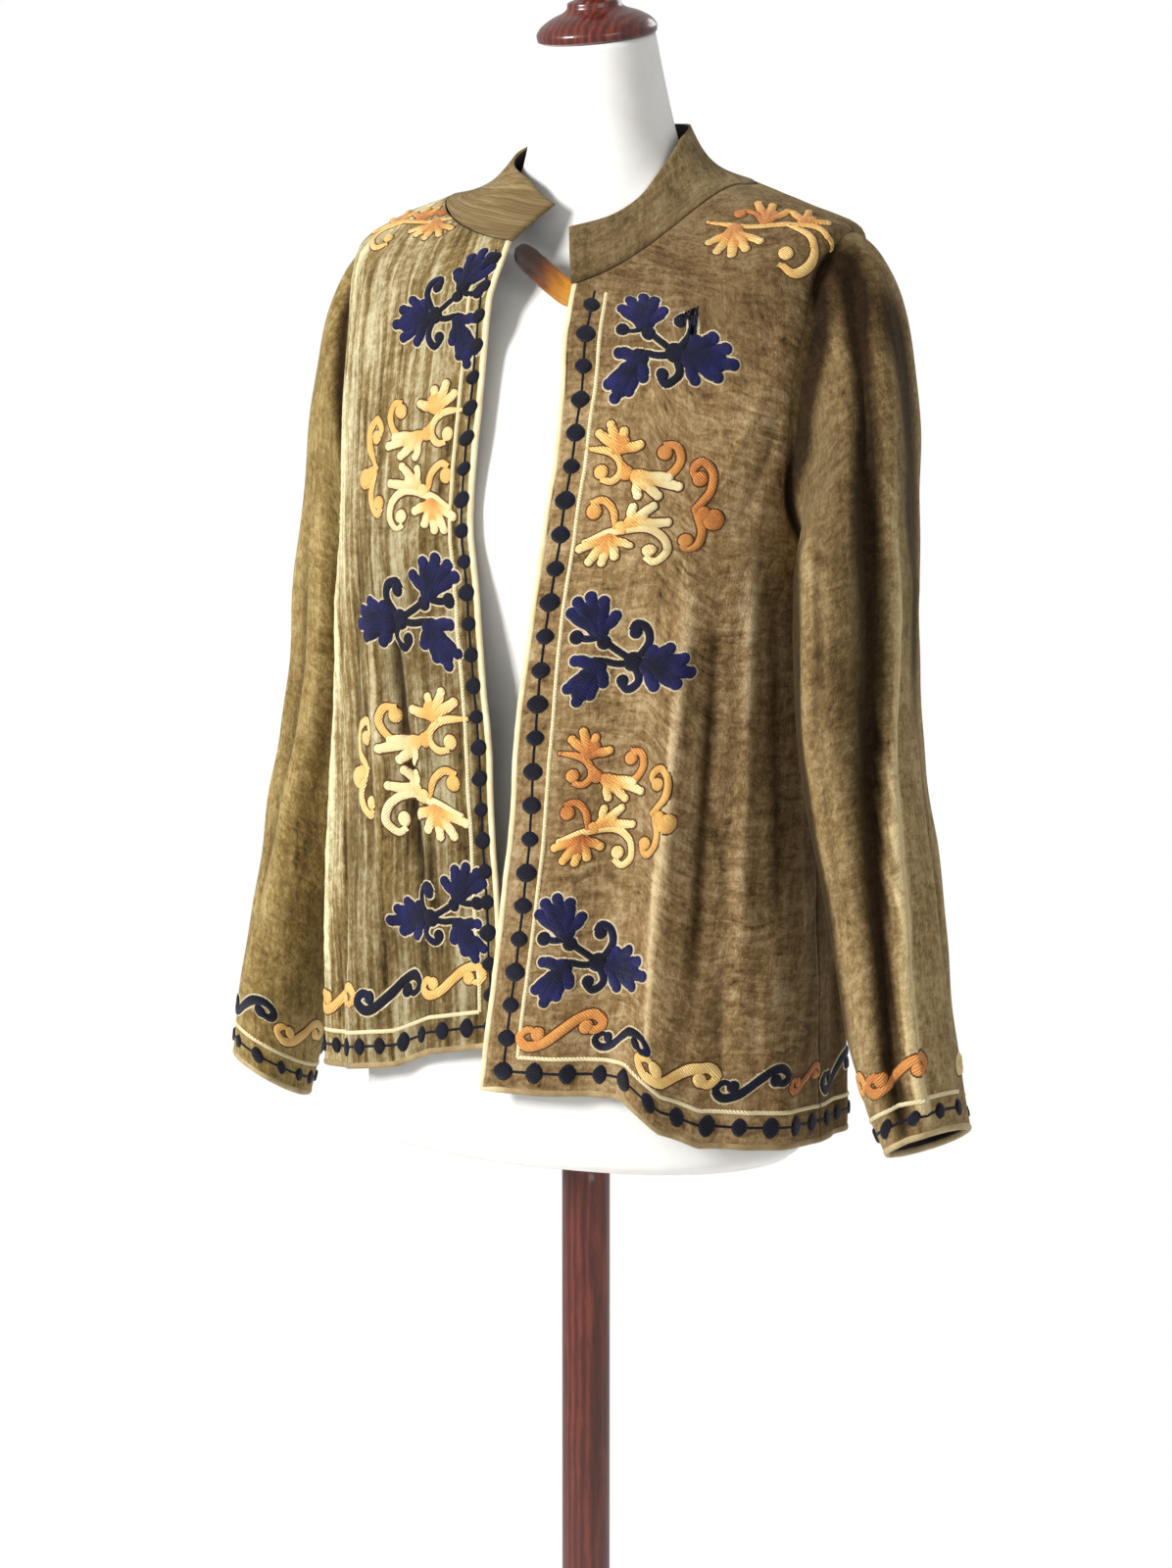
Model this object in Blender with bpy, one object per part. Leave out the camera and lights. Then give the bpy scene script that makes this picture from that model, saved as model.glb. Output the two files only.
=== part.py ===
"""Open-fronted stand-collar jacket on a limbless dress form (metres, +Z up, front faces -Y, wearer's left is +X)."""

import math

import bpy
import numpy as np

for old in list(bpy.data.objects):
    bpy.data.objects.remove(old, do_unlink=True)

# ---------------------------------------------------------------- driving sizes
CLOTH = 0.0018          # thickness of the brushed cloth
SEAM = 0.0003           # gap between sewn pieces
SQUARE = 0.12           # how far the body sections are squared off
BINDING_W = 0.0040      # width of the bound edge
BINDING_T = 0.0028      # its thickness
LAP_RISE = 0.0052       # how far the left front stands off where it lies over the right one
ARMHOLE_DEG = 25.0      # half-width of the armhole, as an angle round the body
POLE_R = 0.0160
BASE_R = 0.1700
NECK_TILT = math.radians(11.5)

# Body sections, hem to neckline. Each is a squared oval; its height runs from front to side to back.
BODY_COLUMNS = ("z_front_left", "z_front_right", "z_left", "z_right", "z_back", "half_width", "y_mid", "depth_front", "depth_back", "x_mid")
BODY = (
    (0.800, 0.830, 0.764, 0.790, 0.768, 0.1720, 0.000, 0.1160, 0.1120, 0.000),   # hem
    (0.905, 0.920, 0.890, 0.900, 0.892, 0.1700, 0.000, 0.1130, 0.1100, 0.000),   # hip
    (1.035, 1.042, 1.025, 1.030, 1.028, 0.1665, 0.000, 0.1090, 0.1010, 0.000),   # waist
    (1.150, 1.156, 1.140, 1.142, 1.145, 0.1670, 0.000, 0.1070, 0.0990, 0.001),   # underarm
    (1.215, 1.231, 1.228, 1.228, 1.234, 0.1770, 0.003, 0.0970, 0.0965, 0.003),   # half way up the armhole
    (1.248, 1.268, 1.301, 1.299, 1.303, 0.1815, 0.007, 0.0910, 0.0915, 0.008),   # upper armhole
    (1.273, 1.297, 1.342, 1.338, 1.340, 0.1775, 0.011, 0.0885, 0.0870, 0.008),   # shoulder point
    (1.291, 1.318, 1.3590, 1.3575, 1.366, 0.1440, 0.014, 0.0830, 0.0780, 0.004), # half way along the shoulder
    (1.307, 1.336, 1.3725, 1.3710, 1.386, 0.1040, 0.018, 0.0780, 0.0700, 0.001),   # neckline
)
UNDERARM, SHOULDER = 3 / 8, 6 / 8

# Hem height round the body, degrees from centre front (positive to the wearer's left).
HEM_LEFT = ((-12.0, 0.8005), (28.0, 0.8015), (36.0, 0.782), (46.0, 0.771), (74.0, 0.766), (90.0, 0.7635))      # degrees, z
HEM_RIGHT = ((-90.0, 0.789), (-61.0, 0.793), (-47.0, 0.796), (-27.0, 0.805), (-16.0, 0.818), (6.0, 0.832))      # degrees, z
HEM_BACK = ((90.0, 0.7635), (120.0, 0.762), (150.0, 0.765), (180.0, 0.771), (225.0, 0.781), (270.0, 0.789))     # degrees, z

# Open front edges: distance from the centre plane at a height.
EDGE_COLUMNS = ("z", "x_left", "x_right")
EDGES = (
    (0.780, -0.0110, 0.0100), (0.870, -0.0005, 0.0060), (0.915, 0.0050, 0.0015), (0.957, 0.0100, -0.0020), (1.014, 0.0130, -0.0065),
    (1.053, 0.0170, -0.0105), (1.109, 0.0230, -0.0155), (1.150, 0.0290, -0.0205), (1.195, 0.0320, -0.0215), (1.242, 0.0310, -0.0230),
    (1.303, 0.0240, -0.0250), (1.340, 0.0220, -0.0210),
)

# Largest hanging folds of the body: crest (+) or trough (-), fading out upwards.
FOLD_COLUMNS = ("deg_hem", "deg_top", "half_width_deg", "rise_hem", "fades_at")
FOLDS = (
    (33.0, 44.0, 9.0, 0.0100, 0.49), (20.0, 32.0, 10.0, -0.0070, 0.44), (52.0, 56.0, 10.0, -0.0050, 0.40), (72.0, 74.0, 10.0, 0.0040, 0.35),
    (-62.0, -60.0, 13.0, 0.0100, 0.56), (-23.0, -27.0, 9.0, -0.0060, 0.47), (-42.0, -44.0, 9.0, 0.0035, 0.35),
    (112.0, 108.0, 10.0, 0.0070, 0.44), (131.0, 126.0, 10.0, -0.0055, 0.40), (152.0, 150.0, 11.0, 0.0080, 0.51), (174.0, 172.0, 11.0, -0.0050, 0.39),
    (197.0, 200.0, 11.0, 0.0070, 0.46), (219.0, 224.0, 10.0, -0.0060, 0.44), (242.0, 246.0, 11.0, 0.0075, 0.40),
)

# Sleeve sections below the underarm, shoulder side to cuff (x outwards from the centre plane).
SLEEVE_COLUMNS = ("x", "y", "z", "half_thin", "half_wide", "tilt_deg", "yaw_deg", "pitch_deg")
SLEEVE_LEFT = (
    (0.2135, -0.035, 1.124, 0.0365, 0.0710, 8.0, 15.0, 10.0),
    (0.2135, -0.036, 1.066, 0.0360, 0.0690, 3.0, 15.0, 2.0),
    (0.2190, -0.036, 1.010, 0.0350, 0.0660, 7.0, 14.0, 2.0),
    (0.2300, -0.039, 0.957, 0.0340, 0.0620, 11.0, 13.0, 3.0),
    (0.2415, -0.042, 0.905, 0.0325, 0.0575, 12.0, 12.0, 4.0),
    (0.2505, -0.045, 0.855, 0.0305, 0.0515, 15.0, 10.0, 5.0),
    (0.2600, -0.046, 0.816, 0.0280, 0.0460, 22.0, 8.0, 6.0),
    (0.2710, -0.047, 0.783, 0.0245, 0.0395, 27.0, 8.0, 8.0),
)
SLEEVE_RIGHT = (
    (0.2080, 0.044, 1.120, 0.0360, 0.0700, 8.0, -15.0, 0.0),
    (0.2110, 0.042, 1.056, 0.0360, 0.0685, 5.0, -15.0, 0.0),
    (0.2190, 0.040, 1.005, 0.0350, 0.0660, 9.0, -14.0, 2.0),
    (0.2300, 0.037, 0.950, 0.0340, 0.0620, 12.0, -12.0, 4.0),
    (0.2410, 0.033, 0.898, 0.0325, 0.0575, 13.0, -11.0, 6.0),
    (0.2530, 0.030, 0.845, 0.0310, 0.0530, 15.0, -9.0, 10.0),
    (0.2640, 0.028, 0.797, 0.0290, 0.0490, 22.0, -8.0, 16.0),
    (0.2730, 0.027, 0.759, 0.0280, 0.0460, 27.0, -8.0, 22.0),
)

CAP_PULL = {"left": 0.76, "right": 0.58}   # how far the sleeve head reaches out before it hangs

# Collar: the oval its top edge follows, the height of that edge by angle from centre front, and how hollow its side is.
COLLAR_OVAL = {"half_width": 0.0570, "depth": 0.0580, "y_mid": 0.020}
COLLAR_COLUMNS = ("deg", "z_top", "hollow")
COLLAR_EDGE = (
    (9.5, 1.3464, -0.0010), (34.0, 1.3525, -0.0005), (54.0, 1.3640, 0.0020), (74.0, 1.3855, 0.0055), (97.0, 1.4060, 0.0080), (135.0, 1.4150, 0.0080),
    (180.0, 1.4170, 0.0070), (225.0, 1.4120, 0.0070), (270.0, 1.4000, 0.0070), (300.0, 1.3900, 0.0050), (337.0, 1.3770, 0.0010), (349.0, 1.3670, -0.0005), (359.0, 1.3610, -0.0010),
)

# Dress form sections, bottom to top of the neck.
FORM_COLUMNS = ("z_front", "z_side", "z_back", "half_width", "y_mid", "depth_front", "depth_back")
FORM = (
    (0.748, 0.748, 0.748, 0.1440, 0.000, 0.0920, 0.0920),
    (0.756, 0.756, 0.756, 0.1520, 0.000, 0.0980, 0.0980),
    (0.810, 0.810, 0.810, 0.1560, 0.000, 0.1010, 0.0990),
    (0.880, 0.880, 0.880, 0.1540, 0.000, 0.0990, 0.0980),
    (0.960, 0.960, 0.960, 0.1370, 0.000, 0.0900, 0.0860),
    (1.030, 1.030, 1.030, 0.1220, 0.000, 0.0840, 0.0760),
    (1.100, 1.100, 1.100, 0.1330, 0.000, 0.0920, 0.0800),
    (1.160, 1.150, 1.150, 0.1480, 0.000, 0.1000, 0.0860),
    (1.222, 1.238, 1.245, 0.1610, 0.004, 0.0880, 0.0880),
    (1.268, 1.305, 1.315, 0.1680, 0.010, 0.0800, 0.0800),
    (1.280, 1.334, 1.340, 0.1580, 0.012, 0.0740, 0.0760),
    (1.292, 1.350, 1.360, 0.1330, 0.014, 0.0690, 0.0700),
    (1.307, 1.3670, 1.381, 0.0930, 0.018, 0.0610, 0.0620),
    (1.330, 1.384, 1.394, 0.0575, 0.020, 0.0465, 0.0520),
    (1.375, 1.403, 1.410, 0.0485, 0.020, 0.0450, 0.0480),
    (1.425, 1.433, 1.440, 0.0430, 0.018, 0.0425, 0.0435),
    (1.4605, 1.4685, 1.4765, 0.0375, 0.015, 0.0375, 0.0375),
)

# Turned parts: radius and height up the part's own axis.
CAP = ((0.0360, 0.0000), (0.0388, 0.0015), (0.0392, 0.0050), (0.0370, 0.0090), (0.0290, 0.0145), (0.0205, 0.0180), (0.0178, 0.0205), (0.0172, 0.0235),
       (0.0105, 0.0265), (0.0088, 0.0310), (0.0110, 0.0360), (0.0135, 0.0420), (0.0125, 0.0485), (0.0075, 0.0530))      # radius, height
BASE = ((0.1660, 0.0000), (0.1700, 0.0040), (0.1700, 0.0120), (0.1650, 0.0180), (0.1500, 0.0215), (0.0900, 0.0260), (0.0420, 0.0300), (0.0330, 0.0380), (0.0280, 0.0480))  # radius, height
POLE_Z = (0.0483, 0.7477)

MATERIALS = {
    # name: colour, roughness, metallic
    "velvet": ((0.330, 0.245, 0.125), 0.85, 0.0),
    "binding_cloth": ((0.780, 0.640, 0.400), 0.80, 0.0),
    "amber_tab": ((0.560, 0.240, 0.040), 0.45, 0.0),
    "form_cloth": ((0.860, 0.830, 0.770), 0.80, 0.0),
    "wood": ((0.230, 0.060, 0.030), 0.35, 0.0),
}


# ---------------------------------------------------------------- curves through the tables
def smooth(rows, s):
    """Rows of a table at s in 0..1, along a curve that passes through each row without overshooting much."""
    rows = np.asarray(rows, float)
    last = len(rows) - 1
    x = np.clip(np.asarray(s, float), 0.0, 1.0) * last
    k = np.minimum(x.astype(int), last - 1)
    f = (x - k)[..., None]
    step = np.diff(rows, axis=0)
    slope = np.zeros_like(rows)
    slope[0], slope[-1] = step[0], step[-1]
    same = (step[1:] * step[:-1]) > 0
    mean = np.where(same, 2 * step[1:] * step[:-1] / np.where(same, step[1:] + step[:-1], 1.0), 0.0)
    slope[1:-1] = mean
    a, b, ma, mb = rows[k], rows[k + 1], slope[k], slope[k + 1]
    return (2 * f**3 - 3 * f**2 + 1) * a + (f**3 - 2 * f**2 + f) * ma + (3 * f**2 - 2 * f**3) * b + (f**3 - f**2) * mb


def ease(x):
    x = np.clip(x, 0.0, 1.0)
    return x * x * (3 - 2 * x)


def lookup(rows, x):
    t = np.asarray(rows, float)
    return np.interp(x, t[:, 0], t[:, 1])


def unit(v):
    return v / np.maximum(np.linalg.norm(v, axis=-1, keepdims=True), 1e-12)


# ---------------------------------------------------------------- body surface
def body_point(theta, s, side):
    """Middle of the cloth at an angle round the body (radians from centre front) and a level s from hem to neckline.
    side is 'left', 'right' or 'back', because the two fronts hang to different heights."""
    theta, s = np.broadcast_arrays(np.asarray(theta, float), np.asarray(s, float))
    row = smooth(BODY, s)
    z_fl, z_fr, z_l, z_r, z_b, half, y_mid, deep_f, deep_b, x_mid = np.moveaxis(row, -1, 0)
    sn, cs = np.sin(theta), np.cos(theta)
    z_side = np.where(sn >= 0, z_l, z_r)
    z_front = z_fl if side == "left" else z_fr
    z_end = np.where(cs >= 0, z_front, z_b) if side != "back" else z_b
    z = z_side + (z_end - z_side) * cs**2
    deg = np.degrees(theta)
    hem = {"left": HEM_LEFT, "right": HEM_RIGHT, "back": HEM_BACK}[side]
    row0 = np.asarray(BODY[0])
    z0_side = np.where(sn >= 0, row0[2], row0[3])
    z0_end = {"left": row0[0], "right": row0[1], "back": row0[4]}[side]
    z0 = z0_side + (z0_end - z0_side) * cs**2
    z = z + (lookup(hem, deg) - z0) * np.clip(1 - s / 0.245, 0, 1) ** 2
    deep = np.where(cs >= 0, deep_f, deep_b)
    x = x_mid + half * sn * (1 + SQUARE * cs**2)
    y = y_mid - deep * cs * (1 + SQUARE * sn**2)
    out = unit(np.stack([sn / half, -cs / deep], -1))
    rise = np.zeros_like(x)
    for deg_hem, deg_top, width, rise_hem, fades_at in FOLDS:
        centre = deg_hem + (deg_top - deg_hem) * s / fades_at
        if side == "back":
            gap = deg - centre if deg_hem >= 90 else None
        else:
            gap = deg - centre if abs(deg_hem) < 90 else None
        if gap is None:
            continue
        bump = np.where(np.abs(gap) < width, 0.5 + 0.5 * np.cos(math.pi * gap / width), 0.0)
        rise = rise + rise_hem * bump * ease(1 - s / fades_at)
    if side == "left":
        rise = rise + LAP_RISE * ease((0.385 - s) / 0.14) * ease((26.0 - deg) / 20.0)
    if side == "right":
        rise = rise - 0.0010 * ease((0.385 - s) / 0.14) * ease((deg + 26.0) / 20.0)
    return np.stack([x + rise * out[..., 0], y + rise * out[..., 1], z], -1)


def body_normal(theta, s, side):
    da, ds = 2e-3, 1e-3
    theta, s = np.broadcast_arrays(np.asarray(theta, float), np.asarray(s, float))
    low, high = np.clip(s - ds, 0, 1), np.clip(s + ds, 0, 1)
    across = body_point(theta + da, s, side) - body_point(theta - da, s, side)
    along = body_point(theta, high, side) - body_point(theta, low, side)
    return unit(np.cross(across, along))


def armhole_half(s):
    """Half-width of the armhole, in radians, at level s."""
    t = np.clip((s - UNDERARM) / (SHOULDER - UNDERARM), 0, 1)
    return math.radians(ARMHOLE_DEG) * 2 * np.sqrt(t * (1 - t))


def edge_theta(s, side):
    """Angle of an open front edge at level s."""
    rows = np.asarray(EDGES)
    theta = np.zeros_like(s)
    for _ in range(12):
        p = body_point(theta, s, side)
        want = np.interp(p[:, 2], rows[:, 0], rows[:, 1 if side == "left" else 2])
        theta = theta + (want - p[:, 0]) / (0.19)
    return theta


# ---------------------------------------------------------------- meshes
def make_mesh(name, points, faces, material, loc=(0, 0, 0)):
    mesh = bpy.data.meshes.new(name)
    tris = []
    for face in faces:
        face = [int(i) for i in face]
        if len(face) == 4:           # split along the shorter diagonal
            a, b, c, d = face
            if np.linalg.norm(points[a] - points[c]) <= np.linalg.norm(points[b] - points[d]):
                tris += [(a, b, c), (a, c, d)]
            else:
                tris += [(a, b, d), (b, c, d)]
        else:
            tris.append(tuple(face))
    mesh.from_pydata([tuple(map(float, p)) for p in points], [], tris)
    mesh.validate()
    mesh.update()
    obj = bpy.data.objects.new(name, mesh)
    obj.location = loc
    bpy.context.scene.collection.objects.link(obj)
    mesh.materials.append(MATS[material])
    return obj


def sheet_solid(name, middle, normal, thick, material, wrap=False):
    """Closed wall from a grid of middle points [across, along, 3] and its outward normals."""
    nu, nv = middle.shape[:2]
    outer = (middle + normal * thick / 2).reshape(-1, 3)
    inner = (middle - normal * thick / 2).reshape(-1, 3)
    n = nu * nv
    at = lambda i, j, k=0: k * n + (i % nu) * nv + j
    faces = []
    for i in range(nu if wrap else nu - 1):
        for j in range(nv - 1):
            faces.append((at(i, j), at(i + 1, j), at(i + 1, j + 1), at(i, j + 1)))
            faces.append((at(i, j, 1), at(i, j + 1, 1), at(i + 1, j + 1, 1), at(i + 1, j, 1)))
        faces.append((at(i, 0), at(i, 0, 1), at(i + 1, 0, 1), at(i + 1, 0)))
        faces.append((at(i, nv - 1), at(i + 1, nv - 1), at(i + 1, nv - 1, 1), at(i, nv - 1, 1)))
    if not wrap:
        for j in range(nv - 1):
            faces.append((at(0, j), at(0, j + 1), at(0, j + 1, 1), at(0, j, 1)))
            faces.append((at(nu - 1, j), at(nu - 1, j, 1), at(nu - 1, j + 1, 1), at(nu - 1, j + 1)))
    return make_mesh(name, np.concatenate([outer, inner]), faces, material)


def tube_solid(name, rings, material):
    """Closed solid from rings [ring, round, 3], capped flat at both ends."""
    k, m = rings.shape[:2]
    points = rings.reshape(-1, 3)
    faces = [(a * m + i, a * m + (i + 1) % m, (a + 1) * m + (i + 1) % m, (a + 1) * m + i) for a in range(k - 1) for i in range(m)]
    faces.append(tuple(range(m - 1, -1, -1)))
    faces.append(tuple((k - 1) * m + i for i in range(m)))
    return make_mesh(name, points, faces, material)


def pull_in(grid, normal, i_from, i_to, amount):
    """Moves one edge column of a grid inwards along the cloth."""
    v = grid[i_to] - grid[i_from]
    v = v - normal[i_from] * np.sum(v * normal[i_from], -1, keepdims=True)
    grid[i_from] = grid[i_from] + unit(v) * amount


MATS = {}
for mat_name, (colour, rough, metal) in MATERIALS.items():
    mat = bpy.data.materials.new(mat_name)
    mat.use_nodes = True
    bsdf = mat.node_tree.nodes["Principled BSDF"]
    bsdf.inputs["Base Color"].default_value = (*colour, 1.0)
    bsdf.inputs["Roughness"].default_value = rough
    bsdf.inputs["Metallic"].default_value = metal
    mat.diffuse_color = (*colour, 1.0)
    MATS[mat_name] = mat

LOWER = np.linspace(0, UNDERARM, 10)
ARM = UNDERARM + (SHOULDER - UNDERARM) * (1 - np.cos(np.linspace(0, math.pi, 9))) / 2
UPPER = np.linspace(SHOULDER, 1.0, 5)
ROWS = np.concatenate([LOWER, ARM[1:], UPPER[1:]])
FIRST_ARM, LAST_ARM = len(LOWER) - 1, len(LOWER) + len(ARM) - 2


def front_grid(side, across=14):
    sign = 1 if side == "left" else -1
    start = edge_theta(ROWS, side)
    end = sign * (math.pi / 2 - armhole_half(ROWS))
    f = np.linspace(0, 1, across + 1)[:, None]
    theta = start + (end - start) * f
    if side == "right":
        theta = theta[::-1]
    return theta, np.broadcast_to(ROWS, theta.shape)


def bound_strip(name, path, out_dir, normal, material):
    """Bound edge: a flat strip that follows the edge of a panel, one seam gap outside it."""
    low = path + out_dir * SEAM
    high = path + out_dir * BINDING_W
    rings = np.stack([low + normal * BINDING_T / 2, high + normal * BINDING_T * 0.32, high - normal * BINDING_T * 0.32, low - normal * BINDING_T / 2], 1)
    return tube_solid(name, rings, material)


def in_plane(v, normal):
    return unit(v - normal * np.sum(v * normal, -1, keepdims=True))


# fronts, each with the bound edge that runs down its opening and along its hem
for side in ("left", "right"):
    theta, level = front_grid(side)
    mid = body_point(theta, level, side)
    nor = body_normal(theta, level, side)
    opening, seam_col = (0, -1) if side == "left" else (-1, 0)
    step = 1 if side == "left" else -1
    pull_in(mid, nor, seam_col, seam_col - step, SEAM / 2)
    # the panel itself stops short of the bound edge
    inward = in_plane(mid[opening + step] - mid[opening], nor[opening])
    mid[opening] = mid[opening] + inward * BINDING_W
    up = in_plane(mid[:, 1] - mid[:, 0], nor[:, 0])
    mid[:, 0] = mid[:, 0] + up * BINDING_W
    sheet_solid("front_" + side, mid, nor, CLOTH, "velvet")
    col, row = mid[opening][::-1], mid[:, 0] if side == "left" else mid[::-1, 0]
    col_n, row_n = nor[opening][::-1], nor[:, 0] if side == "left" else nor[::-1, 0]
    col_o = -inward[::-1]
    row_o = -(up if side == "left" else up[::-1])
    path = np.concatenate([col, row[1:]])
    path_n = np.concatenate([col_n, row_n[1:]])
    out = np.concatenate([col_o, row_o[1:]])
    out[len(col) - 1] = col_o[-1] + row_o[0]     # mitred corner
    if side == "right":
        path_n = -path_n
    bound_strip("binding_front_" + side, path, out, path_n, "binding_cloth")

# back, one piece from side seam to side seam, with its hem binding
across = 20
half = armhole_half(ROWS)
f = np.linspace(0, 1, across + 1)[:, None]
theta = (math.pi / 2 + half) * (1 - f) + (3 * math.pi / 2 - half) * f
level = np.broadcast_to(ROWS, theta.shape)
mid, nor = body_point(theta, level, "back"), body_normal(theta, level, "back")
pull_in(mid, nor, 0, 1, SEAM / 2)
pull_in(mid, nor, -1, -2, SEAM / 2)
up = in_plane(mid[:, 1] - mid[:, 0], nor[:, 0])
mid[:, 0] = mid[:, 0] + up * BINDING_W
sheet_solid("back", mid, nor, CLOTH, "velvet")
bound_strip("binding_back", mid[:, 0], -up, nor[:, 0], "binding_cloth")


# ---------------------------------------------------------------- sleeves
def armhole_ring(side):
    """Points and normals round the armhole, from the shoulder point down the front and up the back."""
    sign = 1 if side == "left" else -1
    down, up_ = ARM[::-1], ARM[1:-1]
    front_t = sign * (math.pi / 2 - armhole_half(down))
    back_t = sign * (math.pi / 2 + armhole_half(up_))
    back_abs = back_t if side == "left" else back_t + 2 * math.pi
    pts = np.concatenate([body_point(front_t, down, side), body_point(back_abs, up_, "back")])
    nrm = np.concatenate([body_normal(front_t, down, side), body_normal(back_abs, up_, "back")])
    return pts, nrm, len(down)


def sleeve_rings(side):
    sign = 1 if side == "left" else -1
    table = SLEEVE_LEFT if side == "left" else SLEEVE_RIGHT
    ring, ring_n, n_front = armhole_ring(side)
    m = len(ring)
    centre = ring.mean(0)
    into = unit(np.cross(ring_n, np.roll(ring, -1, 0) - np.roll(ring, 1, 0)))
    into = into * np.sign(np.sum(into * (centre - ring), -1, keepdims=True))
    # angle round the sleeve by distance along the armhole: 0 at the shoulder, pi at the underarm
    loop = np.concatenate([ring, ring[:1]])
    dist = np.concatenate([[0], np.cumsum(np.linalg.norm(np.diff(loop, axis=0), axis=1))])
    under = dist[n_front - 1]
    phi = np.where(np.arange(m) < n_front, math.pi * dist[:m] / under, math.pi + math.pi * (dist[:m] - under) / (dist[-1] - under))

    def section(row):
        x, y, z, thin, wide, tilt, yaw, pitch = row
        a, b, c = math.radians(tilt), math.radians(yaw), math.radians(pitch)
        e1 = np.array([math.cos(a), 0, math.sin(a)])
        e2 = np.array([0.0, -math.cos(c), math.sin(c)])
        e2 = unit(e2 - e1 * np.dot(e1, e2))
        axis = np.cross(e1, e2)
        f1, f2 = e1 * math.cos(b) - e2 * math.sin(b), e2 * math.cos(b) + e1 * math.sin(b)
        p = np.array([x, y, z]) + thin * np.cos(phi)[:, None] * f1 + wide * np.sin(phi)[:, None] * f2
        p = p * np.array([sign, 1, 1])
        return p, axis * np.array([sign, 1, 1])

    first, axis0 = section(table[0])
    slope = np.where(into[:, 2:] < 0, 0.60, 0.15) * into[:, 2:]
    lead = unit(np.concatenate([np.full((m, 1), float(sign)), 0.25 * into[:, 1:2], slope], 1))
    start = ring + into * SEAM
    reach = np.linalg.norm(first - start, axis=1, keepdims=True)
    rings = []
    for t in np.linspace(0, 1, 8)[:-1] ** 1.35:
        h = (2 * t**3 - 3 * t**2 + 1, t**3 - 2 * t**2 + t, 3 * t**2 - 2 * t**3, t**3 - t**2)
        rings.append(h[0] * start + h[1] * lead * reach * CAP_PULL[side] + h[2] * first + h[3] * axis0 * reach * 1.0)
    for row in smooth(table, np.linspace(0, 1, 10)):
        rings.append(section(row)[0])
    # both walls are mitred at the seam, so the sleeve's wall starts far enough out to clear the panel's edge
    bend = unit(rings[1] - rings[0])
    turn = np.sqrt(np.clip(0.5 - 0.5 * np.sum(bend * into, -1, keepdims=True), 0, 1))
    rings[0] = rings[0] + into * CLOTH * 0.55 * turn
    return np.stack(rings), ring_n          # [ring, round, 3]


for side in ("left", "right"):
    rings, ring_n = sleeve_rings(side)
    grid = np.swapaxes(rings, 0, 1)  # [round, ring, 3]
    around = np.roll(grid, -1, 0) - np.roll(grid, 1, 0)
    along = np.gradient(grid, axis=1)
    nor = unit(np.cross(around, along))
    if side == "right":
        nor = -nor
    nor[:, 0] = unit(nor[:, 0] + ring_n)
    end_dir = unit(grid[:, -1] - grid[:, -2])
    grid[:, -1] = grid[:, -1] - end_dir * BINDING_W
    # cuff binding: a ring of its own
    strip = np.stack([grid[:, -1] + end_dir * SEAM, grid[:, -1] + end_dir * BINDING_W], 1)
    strip_n = np.stack([nor[:, -1], nor[:, -1]], 1)
    turn = slice(None) if side == "left" else slice(None, None, -1)
    sheet_solid("sleeve_" + side, grid[turn], nor[turn], CLOTH, "velvet", wrap=True)
    sheet_solid("binding_cuff_" + side, strip[turn], strip_n[turn], BINDING_T * 0.8, "binding_cloth", wrap=True)


# ---------------------------------------------------------------- collar
def collar_grid(across=26, up_rows=3):
    left = float(edge_theta(np.array([1.0]), "left")[0])
    right = float(edge_theta(np.array([1.0]), "right")[0]) + 2 * math.pi
    u = np.linspace(0, 1, across + 1)
    base_t = left + (right - left) * u
    edge = np.asarray(COLLAR_EDGE)
    top_l, top_r = np.radians(edge[0, 0]), np.radians(edge[-1, 0])
    top_t = top_l + (top_r - top_l) * u
    one = np.ones_like(base_t)
    base = np.where((base_t < math.pi / 2)[:, None], body_point(base_t, one, "left"),
                    np.where((base_t > 1.5 * math.pi)[:, None], body_point(base_t - 2 * math.pi, one, "right"), body_point(base_t, one, "back")))
    c = COLLAR_OVAL
    sn, cs = np.sin(top_t), np.cos(top_t)
    z, hollow = lookup(edge[:, :2], np.degrees(top_t)), lookup(edge[:, ::2], np.degrees(top_t))
    top = np.stack([c["half_width"] * sn, c["y_mid"] - c["depth"] * cs, z], -1)
    rise = unit(top - base)
    start = base + rise * (SEAM + CLOTH / 2)
    v = np.linspace(0, 1, up_rows + 1)
    grid = start[:, None] + (top - start)[:, None] * v[None, :, None]
    around = np.gradient(grid, axis=0)
    along = np.gradient(grid, axis=1)
    nor = unit(np.cross(around, along))
    grid = grid - nor * hollow[:, None, None] * np.sin(math.pi * v)[None, :, None]
    return grid, nor


grid, nor = collar_grid()
sheet_solid("collar", grid, nor, CLOTH, "velvet")


# ---------------------------------------------------------------- amber tab that closes the neck
def tab():
    a = np.array([-0.0195, -0.0545, 1.3330])
    b = np.array([0.0262, -0.0557, 1.2990])
    axis = unit(b - a)
    front = unit(np.array([0.0, -1.0, 0.0]) - axis * np.dot(np.array([0.0, -1.0, 0.0]), axis))
    wide = np.cross(axis, front)
    rings = []
    for t in np.linspace(0, 1, 9):
        half = 0.0075 * (1 - abs(2 * t - 1) ** 5) ** 0.5 + 0.0012
        bow = 0.0015 * math.sin(math.pi * t)
        centre = a + (b - a) * t + front * bow
        ring = []
        for q in np.linspace(0, 2 * math.pi, 12, endpoint=False):
            ring.append(centre + wide * half * math.cos(q) + front * 0.0017 * math.sin(q))
        rings.append(ring)
    return np.array(rings)


tube_solid("neck_tab", tab()[:, ::-1], "amber_tab")


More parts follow.
